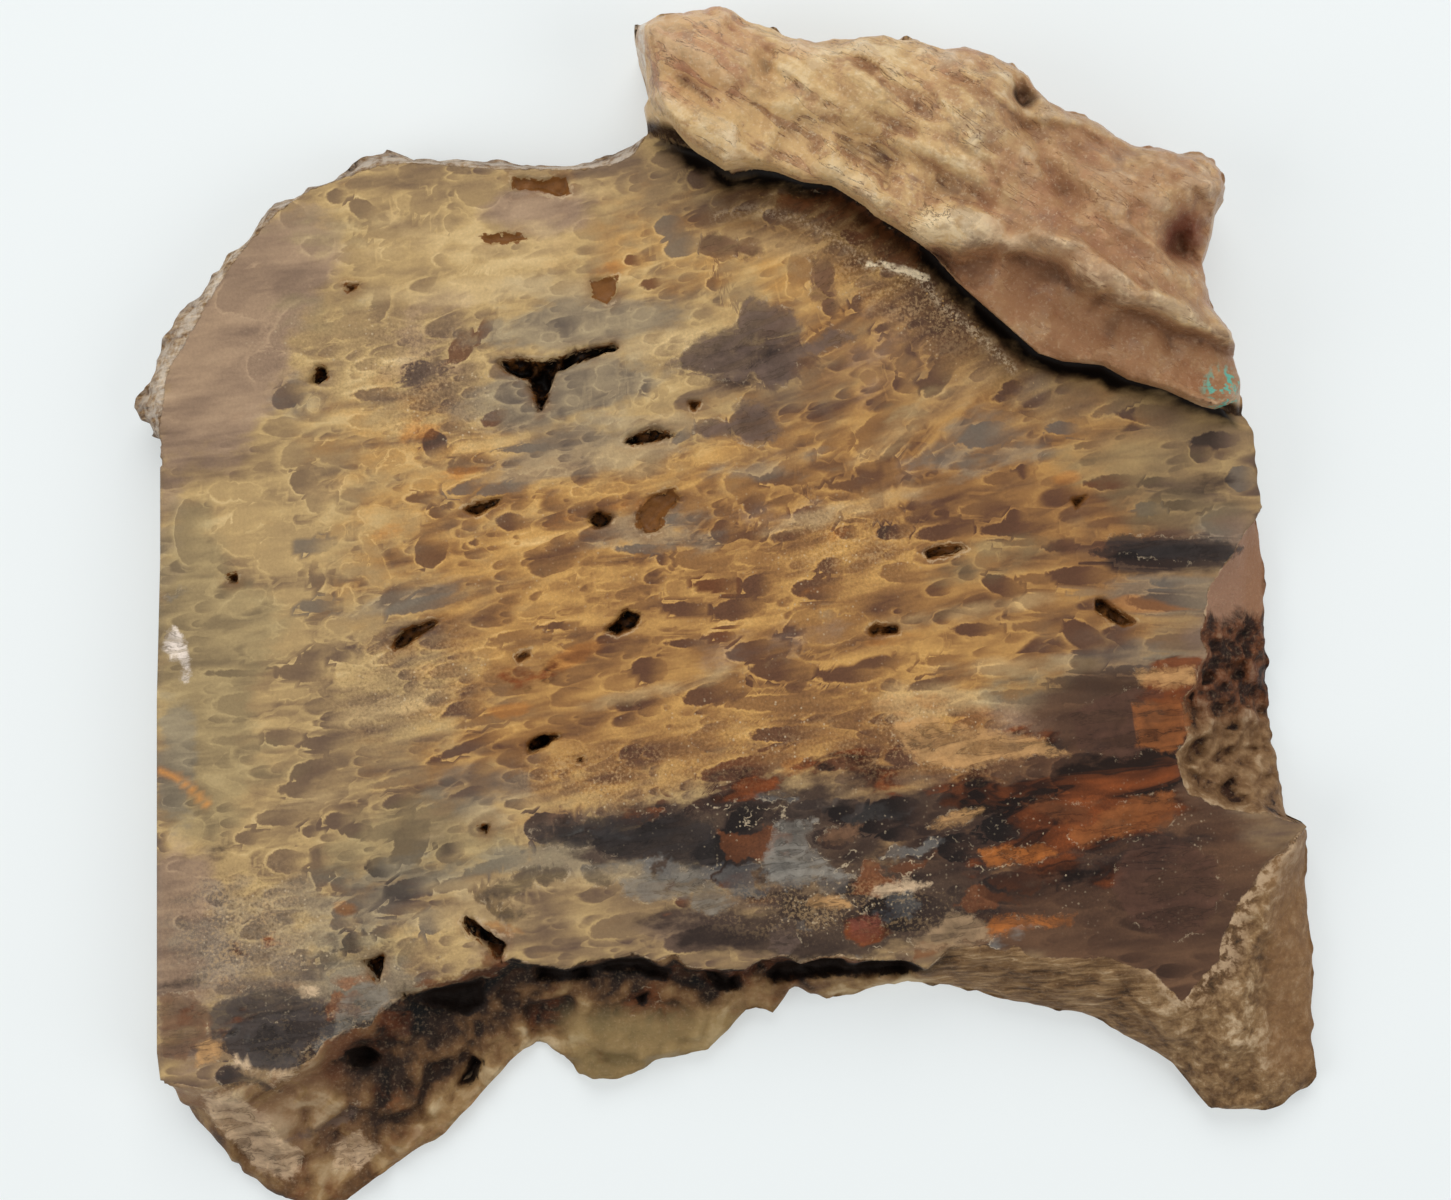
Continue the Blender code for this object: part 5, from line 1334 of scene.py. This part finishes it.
# How light the sawn face is, 0 to 1, and how far each point is within a placed cell
def faceTone(tree, grainPlace, cells, noises, smooth):
    cellEdge, cellTone = attributeOf(tree, "cell")[:2]
    fine, clouds = noises["fine"], noises["clouds"]

    # soft streaks, then cells that fill the gaps between the placed ones
    wisps = grainNoise(tree, grainPlace, (5, 1.4, 4), 23, 3, 0.55, 0.4)
    tone = timesPlus(tree, noises["broad"], 0.9, 0.11)
    tone = plus(tree, tone, centred(tree, noises["streaks"], 1.1), centred(tree, wisps, 0.35), clamp=True)
    edge = distanceOf(tree, cellEdge)
    free = times(tree, rampOf(tree, edge, -0.2, 0.9), smooth)
    for length, width, fill, seed, strength in fillings:
        layer = useGroup(tree, cells, Grain=grainPlace, Length=length, Width=width, Fill=fill, Wander=0.5,
                         Seed=seed)
        patchy = rampOf(tree, grainNoise(tree, grainPlace, (16, 8, 8), seed, 2), 0.36, 0.6)
        share = times(tree, free, strength, timesPlus(tree, patchy, 0.85, 0.15))
        tone = towards(tree, tone, 0.84, times(tree, layer["Glow"], share, 0.75))
        deep = timesPlus(tree, layer["Tone"], 0.3, 0.06)
        tone = towards(tree, tone, deep, times(tree, layer["Inside"], share))
        tone = towards(tree, tone, 0.95, times(tree, layer["Rim"], share, rampOf(tree, fine, 0.4, 0.6), 0.45))

    # the placed cells: dark at their left end, lit outside it, with a thin rim
    within = partsOf(tree, vectorOf(tree, "inCell"))
    flat = addNode(tree, "CombineXYZ", {0: within[0], 1: within[1]}).outputs[0]
    reach = addNode(tree, "VectorMath", {0: flat}, operation="LENGTH").outputs["Value"]
    oval = plus(tree, calc(tree, "SUBTRACT", reach, within[2]), centred(tree, fine, 0.9))
    near = timesPlus(tree, calc(tree, "DIVIDE", within[0], within[2]), -0.5, 0.5)
    guard = rampOf(tree, edge, 0.8, 0.4)
    ringed = rampOf(tree, cellTone, 0.5, 0.38)
    left = calc(tree, "MAXIMUM", rampOf(tree, near, 0.4, 0.75), times(tree, ringed, 0.7))
    glow = times(tree, rampOf(tree, oval, 1.3, 0.05), left, rampOf(tree, edge, 2.2, 1.0))
    tone = towards(tree, tone, 0.85, times(tree, glow, rampOf(tree, cellTone, 1.0, 0.7), 0.45))
    filled = times(tree, rampOf(tree, oval, 0.12, -0.14), guard)
    lasting = timesPlus(tree, rampOf(tree, near, 0.0, 0.65), 0.75, 0.2)
    depth = calc(tree, "SUBTRACT", 1.0, cellTone, clamp=True)
    inCell = times(tree, filled, lasting, timesPlus(tree, cellTone, 0.4, 0.55))
    tone = towards(tree, tone, timesPlus(tree, depth, 0.85, 0.03), inCell)
    rim = times(tree, rampOf(tree, offBy(tree, oval, 0.16), 0.22, 0.0), left, guard)
    rim = times(tree, rim, rampOf(tree, cellTone, 1.0, 0.8), rampOf(tree, clouds, 0.36, 0.6), 0.5)
    return towards(tree, tone, 1.0, rim), inCell


# Broken chips in the dark stone: blue-grey, rusty or black, some outlined in a pale colour
def chipped(tree, place, grainPlace, ground, tone, uneven, fine, chips):
    c = faceColours
    chipPlace = warped(tree, stretch(tree, grainPlace, (7.5, 3.6, 1e3), 41), place, 0.28, 1.3)
    border = voronoiOf(tree, chipPlace, feature="DISTANCE_TO_EDGE")["Distance"]
    random = channelsOf(tree, voronoiOf(tree, chipPlace)["Color"])
    broken = rampOf(tree, timesPlus(tree, uneven, 1.6, chips), 0.3, 0.6)
    chipTone = timesPlus(tree, random[1], 0.55, timesPlus(tree, uneven, 1.6, tone))
    chipTone = calc(tree, "MULTIPLY", chipTone, 0.6, clamp=True)
    inner = times(tree, broken, rampOf(tree, border, 0.03, 0.16))
    outline = times(tree, rampOf(tree, offBy(tree, border, 0.13), 0.04, 0.0), broken)
    return layered(
        tree, ground,
        (blend(tree, chipTone, *c["chipBlue"]), inner, rampOf(tree, random[0], 0.8, 0.84), 0.55),
        (blend(tree, chipTone, *c["chipRust"]), inner, rampOf(tree, random[0], 0.17, 0.13), 0.6),
        (c["speck"], outline, rampOf(tree, random[2], 0.7, 0.8), rampOf(tree, fine, 0.45, 0.6), 0.6),
    )


# The hollows and the groove below the ridge's lip: brown on their walls, with painted shade that grows darker
# with depth and near their edges, some with a pale rim, and a painted shadow, near black, in the groove below
# the lip
def hollowed(tree, ground, vug, below, uneven, noises):
    c = faceColours
    into = distanceOf(tree, attributeOf(tree, "ridge")[0], "ridge")
    overGroove = attributeOf(tree, "stainsAndGapShadow")[2]
    ragged = swayed(tree, vug, noises["fine"], 2.2)
    pale = rampOf(tree, offBy(tree, ragged, 0.35), 0.3, 0.0)
    # painted shade: the hollows darken with depth below the face and near their edges, over the brown of
    # their walls
    deep = timesPlus(tree, rampOf(tree, ragged, -0.9, 0.0), 2.2, swayed(tree, below, noises["dust"], 5.0))
    hole = blend(tree, rampOf(tree, deep, 2.4, 5.6), c["pitWall"], c["deepShade"])
    # painted shadow, near black, in the groove under the ridge's lip
    gapShadow = rampOf(tree, timesPlus(tree, uneven, 4.0, into), -2.4, -1.0)
    return layered(
        tree, ground,
        (c["pitWall"], rampOf(tree, vug, 2.2, 0.0), rampOf(tree, noises["clouds"], 0.42, 0.6), 0.4),
        (c["pitRim"], pale, rampOf(tree, noises["streaks"], 0.5, 0.62), 0.5),
        (hole, rampOf(tree, ragged, 0.12, -0.08)),
        (c["gapShadow"], gapShadow, rampOf(tree, below, 4.5, 3.0), overGroove),
    )


def faceColour(tree, place, grainPlace, groups):
    c = faceColours
    rust, dark, blue, mauve = attributeOf(tree, "stainA")
    sparkle, cream, orange, olive = attributeOf(tree, "stainB")
    saw, shadeBelowRidge, hair, bar = attributeOf(tree, "marks")
    umber, chips = attributeOf(tree, "stainsAndGapShadow")[:2]
    shade, light, rough = attributeOf(tree, "relief")[1:]
    warm, cellHue = attributeOf(tree, "cell")[2:]
    noises = {
        "broad": grainNoise(tree, grainPlace, (24, 9, 8), 0, 3, 0.5),
        "streaks": grainNoise(tree, grainPlace, (13, 2.6, 4), 7, 3, 0.5, 0.3),
        "clouds": grainNoise(tree, grainPlace, (6, 3.2, 4), 31, 4),
        "fine": noiseOf(tree, place, 0.9, 3, 0.55), "dust": noiseOf(tree, place, 1.9, 3, 0.7),
    }
    fine, dust, clouds = noises["fine"], noises["dust"], noises["clouds"]
    uneven = calc(tree, "SUBTRACT", clouds, 0.5)
    smooth = rampOf(tree, mauve, 0.95, 0.4)
    tone, inCell = faceTone(tree, grainPlace, groups["cells"], noises, smooth)

    # broad shade and light, then warm or cool stone
    tone = times(tree, tone, timesPlus(tree, shade, -0.5, 1.0))
    tone = towards(tree, tone, 0.9, times(tree, light, 0.42))
    warmth = rampOf(tree, timesPlus(tree, uneven, 1.2, warm), 0.05, 0.8)
    ground = blend(tree, warmth, colourRamp(tree, tone, c["cool"]), colourRamp(tree, tone, c["warm"]))
    ground = layered(tree, ground, (c["cellBlue"], inCell, rampOf(tree, cellHue, 0.5, 1.0), 0.7),
                     (c["cellBrown"], inCell, rampOf(tree, cellHue, 0.5, 0.0), 0.8))

    # stains keep the light and dark of what they lie in
    for mask, name, strength, shift in (
        (mauve, "mauve", 0.8, 1.1), (olive, "olive", 0.6, 1.1), (blue, "blue", 0.55, 1.6),
        (cream, "cream", 0.5, 1.1), (orange, "orange", 0.6, 1.6), (umber, "umber", 0.9, 0.9),
        (dark, "night", 0.9, 1.7),
    ):
        patch = rampOf(tree, timesPlus(tree, uneven, shift, mask), 0.25, 0.7)
        stain = blend(tree, tone, *c[name])
        ground = layered(tree, ground, (stain, patch, strength, rampOf(tree, mask, 0.02, 0.3)))
    ground = chipped(tree, place, grainPlace, ground, tone, uneven, fine, chips)

    # rust in veins, then painted shade in brown on the face beside the ridge
    veins = grainNoise(tree, grainPlace, (14, 5.5, 6), 17, 3, 0.5, 0.8)
    outlined = rampOf(tree, offBy(tree, veins, 0.5), 0.0, 0.035)
    veined = swayed(tree, times(tree, tone, 0.9), veins, 3.0)
    veined = calc(tree, "MULTIPLY", veined, timesPlus(tree, outlined, 0.7, 0.3), clamp=True)
    patch = rampOf(tree, timesPlus(tree, uneven, 2.0, rust), 0.3, 0.6)

    # dust, crumbs, loose grains and the marks
    grains = useGroup(tree, groups["specks"], Place=place, Size=0.48, Amount=0.2)["Mask"]
    patchy = rampOf(tree, noiseOf(tree, place, 0.3, 4, 0.65), 0.42, 0.6)
    ground = layered(
        tree, ground,
        (blend(tree, veined, *c["rust"]), patch, 0.9, rampOf(tree, rust, 0.02, 0.3)),
        # painted shade below the ridge's foot
        (c["shadeBelowRidge"], shadeBelowRidge, rampOf(tree, clouds, 0.3, 0.55), 0.85),
        (blend(tree, shadeBelowRidge, c["speck"], c["gilt"]), grains, sparkle, patchy, 0.7),
        (c["dust"], rough, rampOf(tree, timesPlus(tree, uneven, 0.6, dust), 0.5, 0.66), 0.5),
        # dark brown mottles on the rough patches, in the brown of the painted shade below the ridge
        (c["shadeBelowRidge"], rough, rampOf(tree, dust, 0.46, 0.34), 0.4),
        (c["speck"], saw, rampOf(tree, dust, 0.42, 0.6), 0.8),
        (c["orange"][1], hair, 0.7),
        (c["bar"], rampOf(tree, bar, 0.3, 0.6), rampOf(tree, dust, 0.34, 0.44), 0.95),
    )

    # the sawn side is clouded, where the pattern of the front would only run down it in stripes
    vug = distanceOf(tree, attributeOf(tree, "zone")[3])
    below = depthBelow(tree, grainPlace)
    onSide = times(tree, rampOf(tree, below, 0.3, 2.5), rampOf(tree, vug, 0.0, 1.0), 0.75)
    sideNoise = timesPlus(tree, noiseOf(tree, place, 0.2, 5, 0.62, 0.6), 1.6, -0.35, clamp=True)
    ground = blend(tree, onSide, ground, colourRamp(tree, sideNoise, c["cool"]))

    ground = hollowed(tree, ground, vug, below, uneven, noises)
    gritty = noiseOf(tree, place, 2.4, 3, 0.75)
    grit = times(tree, calc(tree, "SUBTRACT", gritty, 0.5), timesPlus(tree, sparkle, 1.0, 0.35))
    return shaded(tree, ground, plus(tree, timesPlus(tree, dust, 0.3, 0.86), grit))


stoneColours = {
    "ridge": [(0.0, paint(92, 60, 42)), (0.28, paint(154, 114, 80)), (0.52, paint(188, 146, 104)),
              (0.78, paint(216, 180, 128)), (1.0, paint(242, 216, 172))],
    "rind": [(0.0, paint(62, 44, 28)), (0.35, paint(112, 82, 52)), (0.65, paint(150, 118, 80)),
             (1.0, paint(208, 180, 144))],
    "shelf": [(0.0, paint(10, 7, 5)), (0.3, paint(48, 31, 20)), (0.55, paint(108, 76, 46)),
              (0.8, paint(154, 122, 80)), (1.0, paint(200, 174, 134))],
    "notch": [(0.0, paint(10, 6, 4)), (0.35, paint(50, 28, 17)), (0.6, paint(112, 66, 38)),
              (0.85, paint(150, 116, 88)), (1.0, paint(200, 172, 142))],
    "ridgePink": paint(196, 140, 108), "ridgeCream": paint(222, 184, 126), "ridgeGrey": paint(140, 116, 98),
    "ridgeBrown": paint(150, 102, 66), "ridgeRed": paint(108, 46, 34), "ridgeGlint": paint(246, 226, 190),
    "ridgeTan": paint(152, 108, 74), "crust": paint(208, 176, 140), "creaseShade": paint(84, 52, 32),
    "shelfRust": paint(112, 58, 26), "lobe": paint(158, 134, 88), "pale": paint(198, 168, 134),
    "notchPink": paint(160, 120, 94), "black": paint(8, 5, 4), "foot": paint(56, 37, 23),
    "chalk": paint(226, 214, 198), "turquoise": paint(96, 176, 156), "mauve": paint(126, 92, 70),
    "smoothBrown": paint(136, 98, 62),
}


def spotOf(tree, place, middle, inner, outer):
    away = addNode(tree, "VectorMath", {0: place, 1: middle}, operation="DISTANCE").outputs["Value"]
    return rampOf(tree, away, outer, inner)


# The ridge: waxy tan folds, lighter on high parts and darker on low ones as painted shading, a cream front, a
# browner lower tier, painted shade in the creases between its tiers, painted glints, black painted shade in a
# small hollow, a pale crust along its outer edge
def ridgeColour(tree, place, into, reliefShading, noises):
    c = stoneColours
    tier, alongRidge = attributeOf(tree, "ridge")[1:3]
    mottled, veined, fine = noises["mottled"], noises["veined"], noises["fine"]
    turned = addNode(tree, "Mapping", {"Vector": place, "Rotation": (0, 0, -0.55), "Scale": (14, 2.6, 3.3)},
                     vector_type="TEXTURE").outputs[0]
    clouded = noiseOf(tree, place, 0.12, 4, 0.55, 0.8)
    banded = noiseOf(tree, turned, 1.0, 5, 0.6, 0.5)
    light = plus(tree, centred(tree, banded, 1.0), centred(tree, mottled, 1.0), times(tree, reliefShading, 1.3),
                 centred(tree, clouded, 0.9), 0.6, clamp=True)
    toTier = distanceOf(tree, tier, "ridge")
    creaseShade = rampOf(tree, offBy(tree, swayed(tree, toTier, mottled, 5.0), 0.6), 1.1, 0.0)
    return layered(
        tree, colourRamp(tree, light, c["ridge"]),
        (c["ridgePink"], rampOf(tree, noises["broad"], 0.46, 0.6), 0.35),
        (c["ridgePink"], spotOf(tree, place, (-4, 82, 22), 6.0, 12.0), 0.55),
        (c["ridgeGrey"], rampOf(tree, veined, 0.52, 0.62), 0.4),
        (c["ridgeCream"], rampOf(tree, into, 13.0, 8.0), rampOf(tree, alongRidge, 0.62, 0.4),
         rampOf(tree, banded, 0.42, 0.56), 0.6),
        (c["ridgeBrown"], rampOf(tree, veined, 0.46, 0.36), 0.3),
        # thin dark crack lines in the brown of the painted shade in creases
        (c["creaseShade"], rampOf(tree, offBy(tree, banded, 0.47), 0.016, 0.0), rampOf(tree, clouded, 0.44, 0.54),
         0.7),
        # painted glints
        (c["ridgeGlint"], rampOf(tree, fine, 0.56, 0.64), 0.3),
        # painted shade in the creases between the ridge's tiers
        (c["creaseShade"], creaseShade, rampOf(tree, alongRidge, 0.38, 0.5), 0.6),
        (c["ridgeCream"], rampOf(tree, into, 4.5, 2.6), rampOf(tree, mottled, 0.4, 0.55), 0.45),
        (c["ridgeBrown"], rampOf(tree, toTier, -0.3, 1.0), rampOf(tree, alongRidge, 0.4, 0.55),
         rampOf(tree, into, 2.2, 3.6), rampOf(tree, veined, 0.62, 0.46), 0.7),
        (c["crust"], rampOf(tree, mottled, 0.46, 0.58), rampOf(tree, into, 13.0, 20.0), 0.75),
        (c["ridgeTan"], rampOf(tree, alongRidge, 0.5, 0.8), rampOf(tree, mottled, 0.3, 0.55), 0.55),
        (c["ridgeRed"], spotOf(tree, place, (67, 55, 19), 1.5, 5.5), 0.8),
        # black painted shade in the small hollow
        (c["black"], spotOf(tree, place, (43.2, 75.5, 19), 0.6, 3.0), 0.9),
    )


# The rind at the lower right: fibres along the hollow side, then mottled towards the corner
def rindColour(tree, axes, grainPlace, lowShare, reliefShading, noises):
    c = stoneColours
    fibres = grainNoise(tree, grainPlace, (6, 0.7, 1.5), 0, 5, 0.65, 0.5)
    corner = rampOf(tree, axes[0], 58.0, 70.0)
    grain = centred(tree, blend(tree, corner, fibres, noises["mottled"]), 2.0)
    skin = plus(tree, grain, reliefShading, centred(tree, noises["broad"], 1.0), 0.48, clamp=True)
    border = rampOf(tree, noises["mottled"], 0.44, 0.56)
    return layered(
        tree, colourRamp(tree, skin, c["rind"]),
        (c["smoothBrown"], rampOf(tree, axes[0], 78.0, 83.0), rampOf(tree, axes[1], -74.0, -66.0), 0.65),
        (c["pale"], rampOf(tree, lowShare, 0.3, 0.05), corner, border, 0.7),
    )


# The shelf: brown, black beside the face, paler at its edge
def shelfColour(tree, place, axes, lowShare, reliefShading, noises):
    c = stoneColours
    veined = noises["veined"]
    large = noiseOf(tree, place, 0.11, 4, 0.5, 0.8)
    toLeft = rampOf(tree, axes[0], -50.0, -68.0)
    outwards = towards(tree, timesPlus(tree, lowShare, 0.72, 0.06), 0.76, times(tree, toLeft, 0.8))
    ledge = plus(tree, centred(tree, large, 1.7), centred(tree, veined, 0.7), reliefShading, outwards, clamp=True)
    return layered(
        tree, colourRamp(tree, ledge, c["shelf"]),
        (c["lobe"], rampOf(tree, axes[1], -58.0, -63.0), rampOf(tree, axes[0], -28.0, -22.0), 0.65),
        (c["shelfRust"], rampOf(tree, noises["broad"], 0.5, 0.62), rampOf(tree, veined, 0.4, 0.6), 0.55),
        (c["mauve"], toLeft, rampOf(tree, lowShare, 0.9, 0.5), rampOf(tree, veined, 0.4, 0.5), 0.5),
    )


# The notch: a smooth pinkish facet above, broken rusty stone below it
def notchColour(tree, axes, reliefShading, noises):
    c = stoneColours
    veined = noises["veined"]
    lower = timesPlus(tree, rampOf(tree, axes[1], -10.0, -22.0), 0.22, 0.42)
    rough = plus(tree, centred(tree, veined, 1.1), centred(tree, noises["mottled"], 0.9), reliefShading, lower)
    crumbs = colourRamp(tree, calc(tree, "SUBTRACT", rough, 0.14), c["rind"])
    facet = rampOf(tree, plus(tree, centred(tree, veined, 8.0), axes[1]), -1.5, 0.5)
    return layered(
        tree, colourRamp(tree, rough, c["notch"]),
        (crumbs, rampOf(tree, axes[1], -12.0, -19.0), rampOf(tree, rough, 0.3, 0.45), 0.8),
        (c["notchPink"], facet),
        (c["ridgeBrown"], facet, rampOf(tree, axes[0], 76.5, 79.0), 0.5),
    )


def naturalColour(tree, place, grainPlace):
    c = stoneColours
    axes = partsOf(tree, place)
    ridge, lowShare = attributeOf(tree, "zone")[1:3]
    kinds = attributeOf(tree, "kinds")
    foot, _, _, topRind = attributeOf(tree, "ridge")
    into = distanceOf(tree, foot, "ridge")
    sunk = distanceOf(tree, attributeOf(tree, "relief")[0], "sunk")
    # painted shading from the relief: lighter where the surface stands above its surroundings, darker where
    # it lies below
    reliefShading = calc(tree, "MULTIPLY", sunk, -0.22)
    noises = {
        "broad": noiseOf(tree, place, 0.07, 4, 0.55), "veined": noiseOf(tree, place, 0.22, 5, 0.62, 0.6),
        "mottled": noiseOf(tree, place, 0.55, 5, 0.62, 0.3), "fine": noiseOf(tree, place, 1.8, 4, 0.68),
    }
    skin = rindColour(tree, axes, grainPlace, lowShare, reliefShading, noises)
    ledge = shelfColour(tree, place, axes, lowShare, reliefShading, noises)
    broken = notchColour(tree, axes, reliefShading, noises)
    upper = ridgeColour(tree, place, into, reliefShading, noises)
    below = depthBelow(tree, grainPlace)
    green = rampOf(tree, noiseOf(tree, place, 0.9, 3), 0.5, 0.6)
    chalky = rampOf(tree, noises["mottled"], 0.34, 0.62)
    return layered(
        tree, skin, (ledge, kinds[0]), (broken, kinds[2]), (upper, ridge),
        (c["chalk"], topRind, chalky, timesPlus(tree, below, -0.06, 0.62)),
        # painted shade in creases and hollows, where the surface lies below its surroundings
        (c["creaseShade"], rampOf(tree, sunk, 0.7, 1.9), 0.6),
        (c["turquoise"], spotOf(tree, place, (73.5, 32.5, 18.0), 2.5, 5.0), green),
        # painted shade below the ridge's lip
        (c["foot"], ridge, rampOf(tree, into, 2.2, 0.9), rampOf(tree, below, 3.5, 2.0)),  # below its lip
        (c["pale"], rampOf(tree, noises["fine"], 0.5, 0.75), 0.22),
    )


# The patches over the stone's own colour: uneven borders, streaks and mottling, lighter towards the border,
# here and there a thin cream outline, and black painted shade deep in the crevices
def patched(tree, place, grainPlace, ground):
    node = addNode(tree, "Attribute", attribute_name="patch")
    wobble = noiseOf(tree, place, 0.5, 6, 0.7)
    away = swayed(tree, distanceOf(tree, node.outputs["Alpha"]), wobble, 4.0)
    mottled = noiseOf(tree, place, 0.45, 6, 0.7, 0.6)
    streaked = grainNoise(tree, grainPlace, (6, 1.7, 4), 53, 4, 0.6, 0.6)
    light = timesPlus(tree, mottled, 1.7, timesPlus(tree, streaked, 1.5, -0.72))
    light = timesPlus(tree, rampOf(tree, away, -2.2, -0.2), 0.3, light)
    lines = rampOf(tree, offBy(tree, streaked, 0.47), 0.0, 0.025)
    light = times(tree, light, timesPlus(tree, lines, 0.5, 0.5))
    share = timesPlus(tree, rampOf(tree, streaked, 0.35, 0.6), 0.3, 0.5)
    outline = rampOf(tree, offBy(tree, away, 0.2), 0.25, 0.0)
    crevice = swayed(tree, distanceOf(tree, attributeOf(tree, "kinds")[3]), wobble, 3.0)
    below = depthBelow(tree, grainPlace)
    return layered(
        tree, ground,
        (shaded(tree, node.outputs["Color"], light), rampOf(tree, away, 0.5, -0.6), share),
        (faceColours["speck"], outline, rampOf(tree, mottled, 0.52, 0.62), 0.35),
        (faceColours["deepShade"], rampOf(tree, crevice, 0.5, -0.1), rampOf(tree, below, 2.4, 4.6), 0.94),
    )


# How rough each kind of surface is, and how high its bumps are in metres
finish = {
    "broken": 0.62, "ridge": 0.32, "sawn": 0.5, "specular": 0.2, "bumpHeight": 0.0008, "bumpStrength": 0.7,
}


def stoneMaterial():
    material = bpy.data.materials.new("agatized_coral")
    material.use_nodes = True
    tree = material.node_tree
    shader = tree.nodes["Principled BSDF"]
    groups = {"cells": cellsGroup(), "specks": specksGroup()}
    grainPlace = vectorOf(tree, "grain")
    place = scaled(tree, addNode(tree, "TexCoord").outputs["Object"], 1 / mm)
    sawn, ridge = attributeOf(tree, "zone")[:2]
    toNatural = swayed(tree, distanceOf(tree, sawn), noiseOf(tree, place, 0.7, 4, 0.6), 1.2)
    onFace = rampOf(tree, toNatural, -0.1, 0.15)
    natural = naturalColour(tree, place, grainPlace)
    colour = blend(tree, onFace, natural, faceColour(tree, place, grainPlace, groups))
    tree.links.new(patched(tree, place, grainPlace, colour), shader.inputs["Base Color"])
    rough = towards(tree, towards(tree, finish["broken"], finish["ridge"], ridge), finish["sawn"], onFace)
    rough = swayed(tree, rough, noiseOf(tree, place, 0.5, 4, 0.6), 0.2)
    tree.links.new(rough, shader.inputs["Roughness"])
    relief = noiseOf(tree, place, 0.8, 6, 0.68)
    height = blend(tree, onFace, relief, times(tree, noiseOf(tree, place, 3.0, 3), 0.08))
    values = {"Height": height, "Distance": finish["bumpHeight"], "Strength": finish["bumpStrength"]}
    tree.links.new(addNode(tree, "Bump", values).outputs[0], shader.inputs["Normal"])
    shader.inputs["Specular IOR Level"].default_value = finish["specular"]
    return material


stone = makeStone()
stone.data.materials.append(stoneMaterial())
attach(stone, "root")
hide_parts("coral_slab")
print("stone dressed")

stage = {
    "floorSize": 12.0, "floorColour": paint(184, 188, 188), "floorDrop": 0.0001, "floorRoughness": 0.7,
    "floorGlow": (0.96, 1.0, 1.0, 1), "floorPower": 0.4,
    "cameraPlace": (-0.00026, 0.0019, 0.4), "frameWidth": 0.2226,  # what the picture spans at the floor
    "skyColour": (0.95, 0.98, 1.0, 1), "skyPower": 0.32,
    "lamps": [  # place, width and power of each soft lamp
        ((0.0, 1.0, 0.95), 1.1, 10.5), ((-1.05, -0.35, 0.9), 1.0, 6.6), ((1.05, -0.35, 0.9), 1.0, 5.6),
    ],
}


def makeFloor():
    half = stage["floorSize"] / 2
    mesh = bpy.data.meshes.new("floor")
    corners = [(-half, -half), (half, -half), (half, half), (-half, half)]
    mesh.from_pydata([(x, y, -stage["floorDrop"]) for x, y in corners], [], [(0, 1, 2, 3)])
    floor = bpy.data.objects.new("floor", mesh)
    bpy.context.scene.collection.objects.link(floor)
    material = bpy.data.materials.new("pale_floor")
    material.use_nodes = True
    shader = material.node_tree.nodes["Principled BSDF"]
    shader.inputs["Base Color"].default_value = stage["floorColour"]
    shader.inputs["Emission Color"].default_value = stage["floorGlow"]
    shader.inputs["Emission Strength"].default_value = stage["floorPower"]
    shader.inputs["Roughness"].default_value = stage["floorRoughness"]
    mesh.materials.append(material)


def makeLight():
    for number, (place, width, power) in enumerate(stage["lamps"]):
        lamp = bpy.data.lights.new("softLamp%d" % number, "AREA")
        lamp.shape, lamp.size, lamp.energy = "DISK", width, power
        holder = bpy.data.objects.new(lamp.name, lamp)
        holder.location = place
        aim = -np.array(place) / np.linalg.norm(place)
        holder.rotation_euler = (math.acos(-aim[2]), 0, math.atan2(-aim[0], aim[1]))
        bpy.context.scene.collection.objects.link(holder)
    world = bpy.data.worlds.new("paleSky")
    world.use_nodes = True
    sky = world.node_tree.nodes["Background"].inputs
    sky["Color"].default_value = stage["skyColour"]
    sky["Strength"].default_value = stage["skyPower"]
    bpy.context.scene.world = world


def makeCamera():
    camera = bpy.data.cameras.new("camera")
    holder = bpy.data.objects.new("camera", camera)
    holder.location = stage["cameraPlace"]
    camera.sensor_fit = "HORIZONTAL"
    camera.lens = camera.sensor_width * stage["cameraPlace"][2] / stage["frameWidth"]
    camera.clip_start = 0.01
    bpy.context.scene.collection.objects.link(holder)
    bpy.context.scene.camera = holder


makeFloor()
makeLight()
makeCamera()
bpy.context.scene.view_settings.view_transform = "Standard"  # colours as the material gives them
print("stage set")
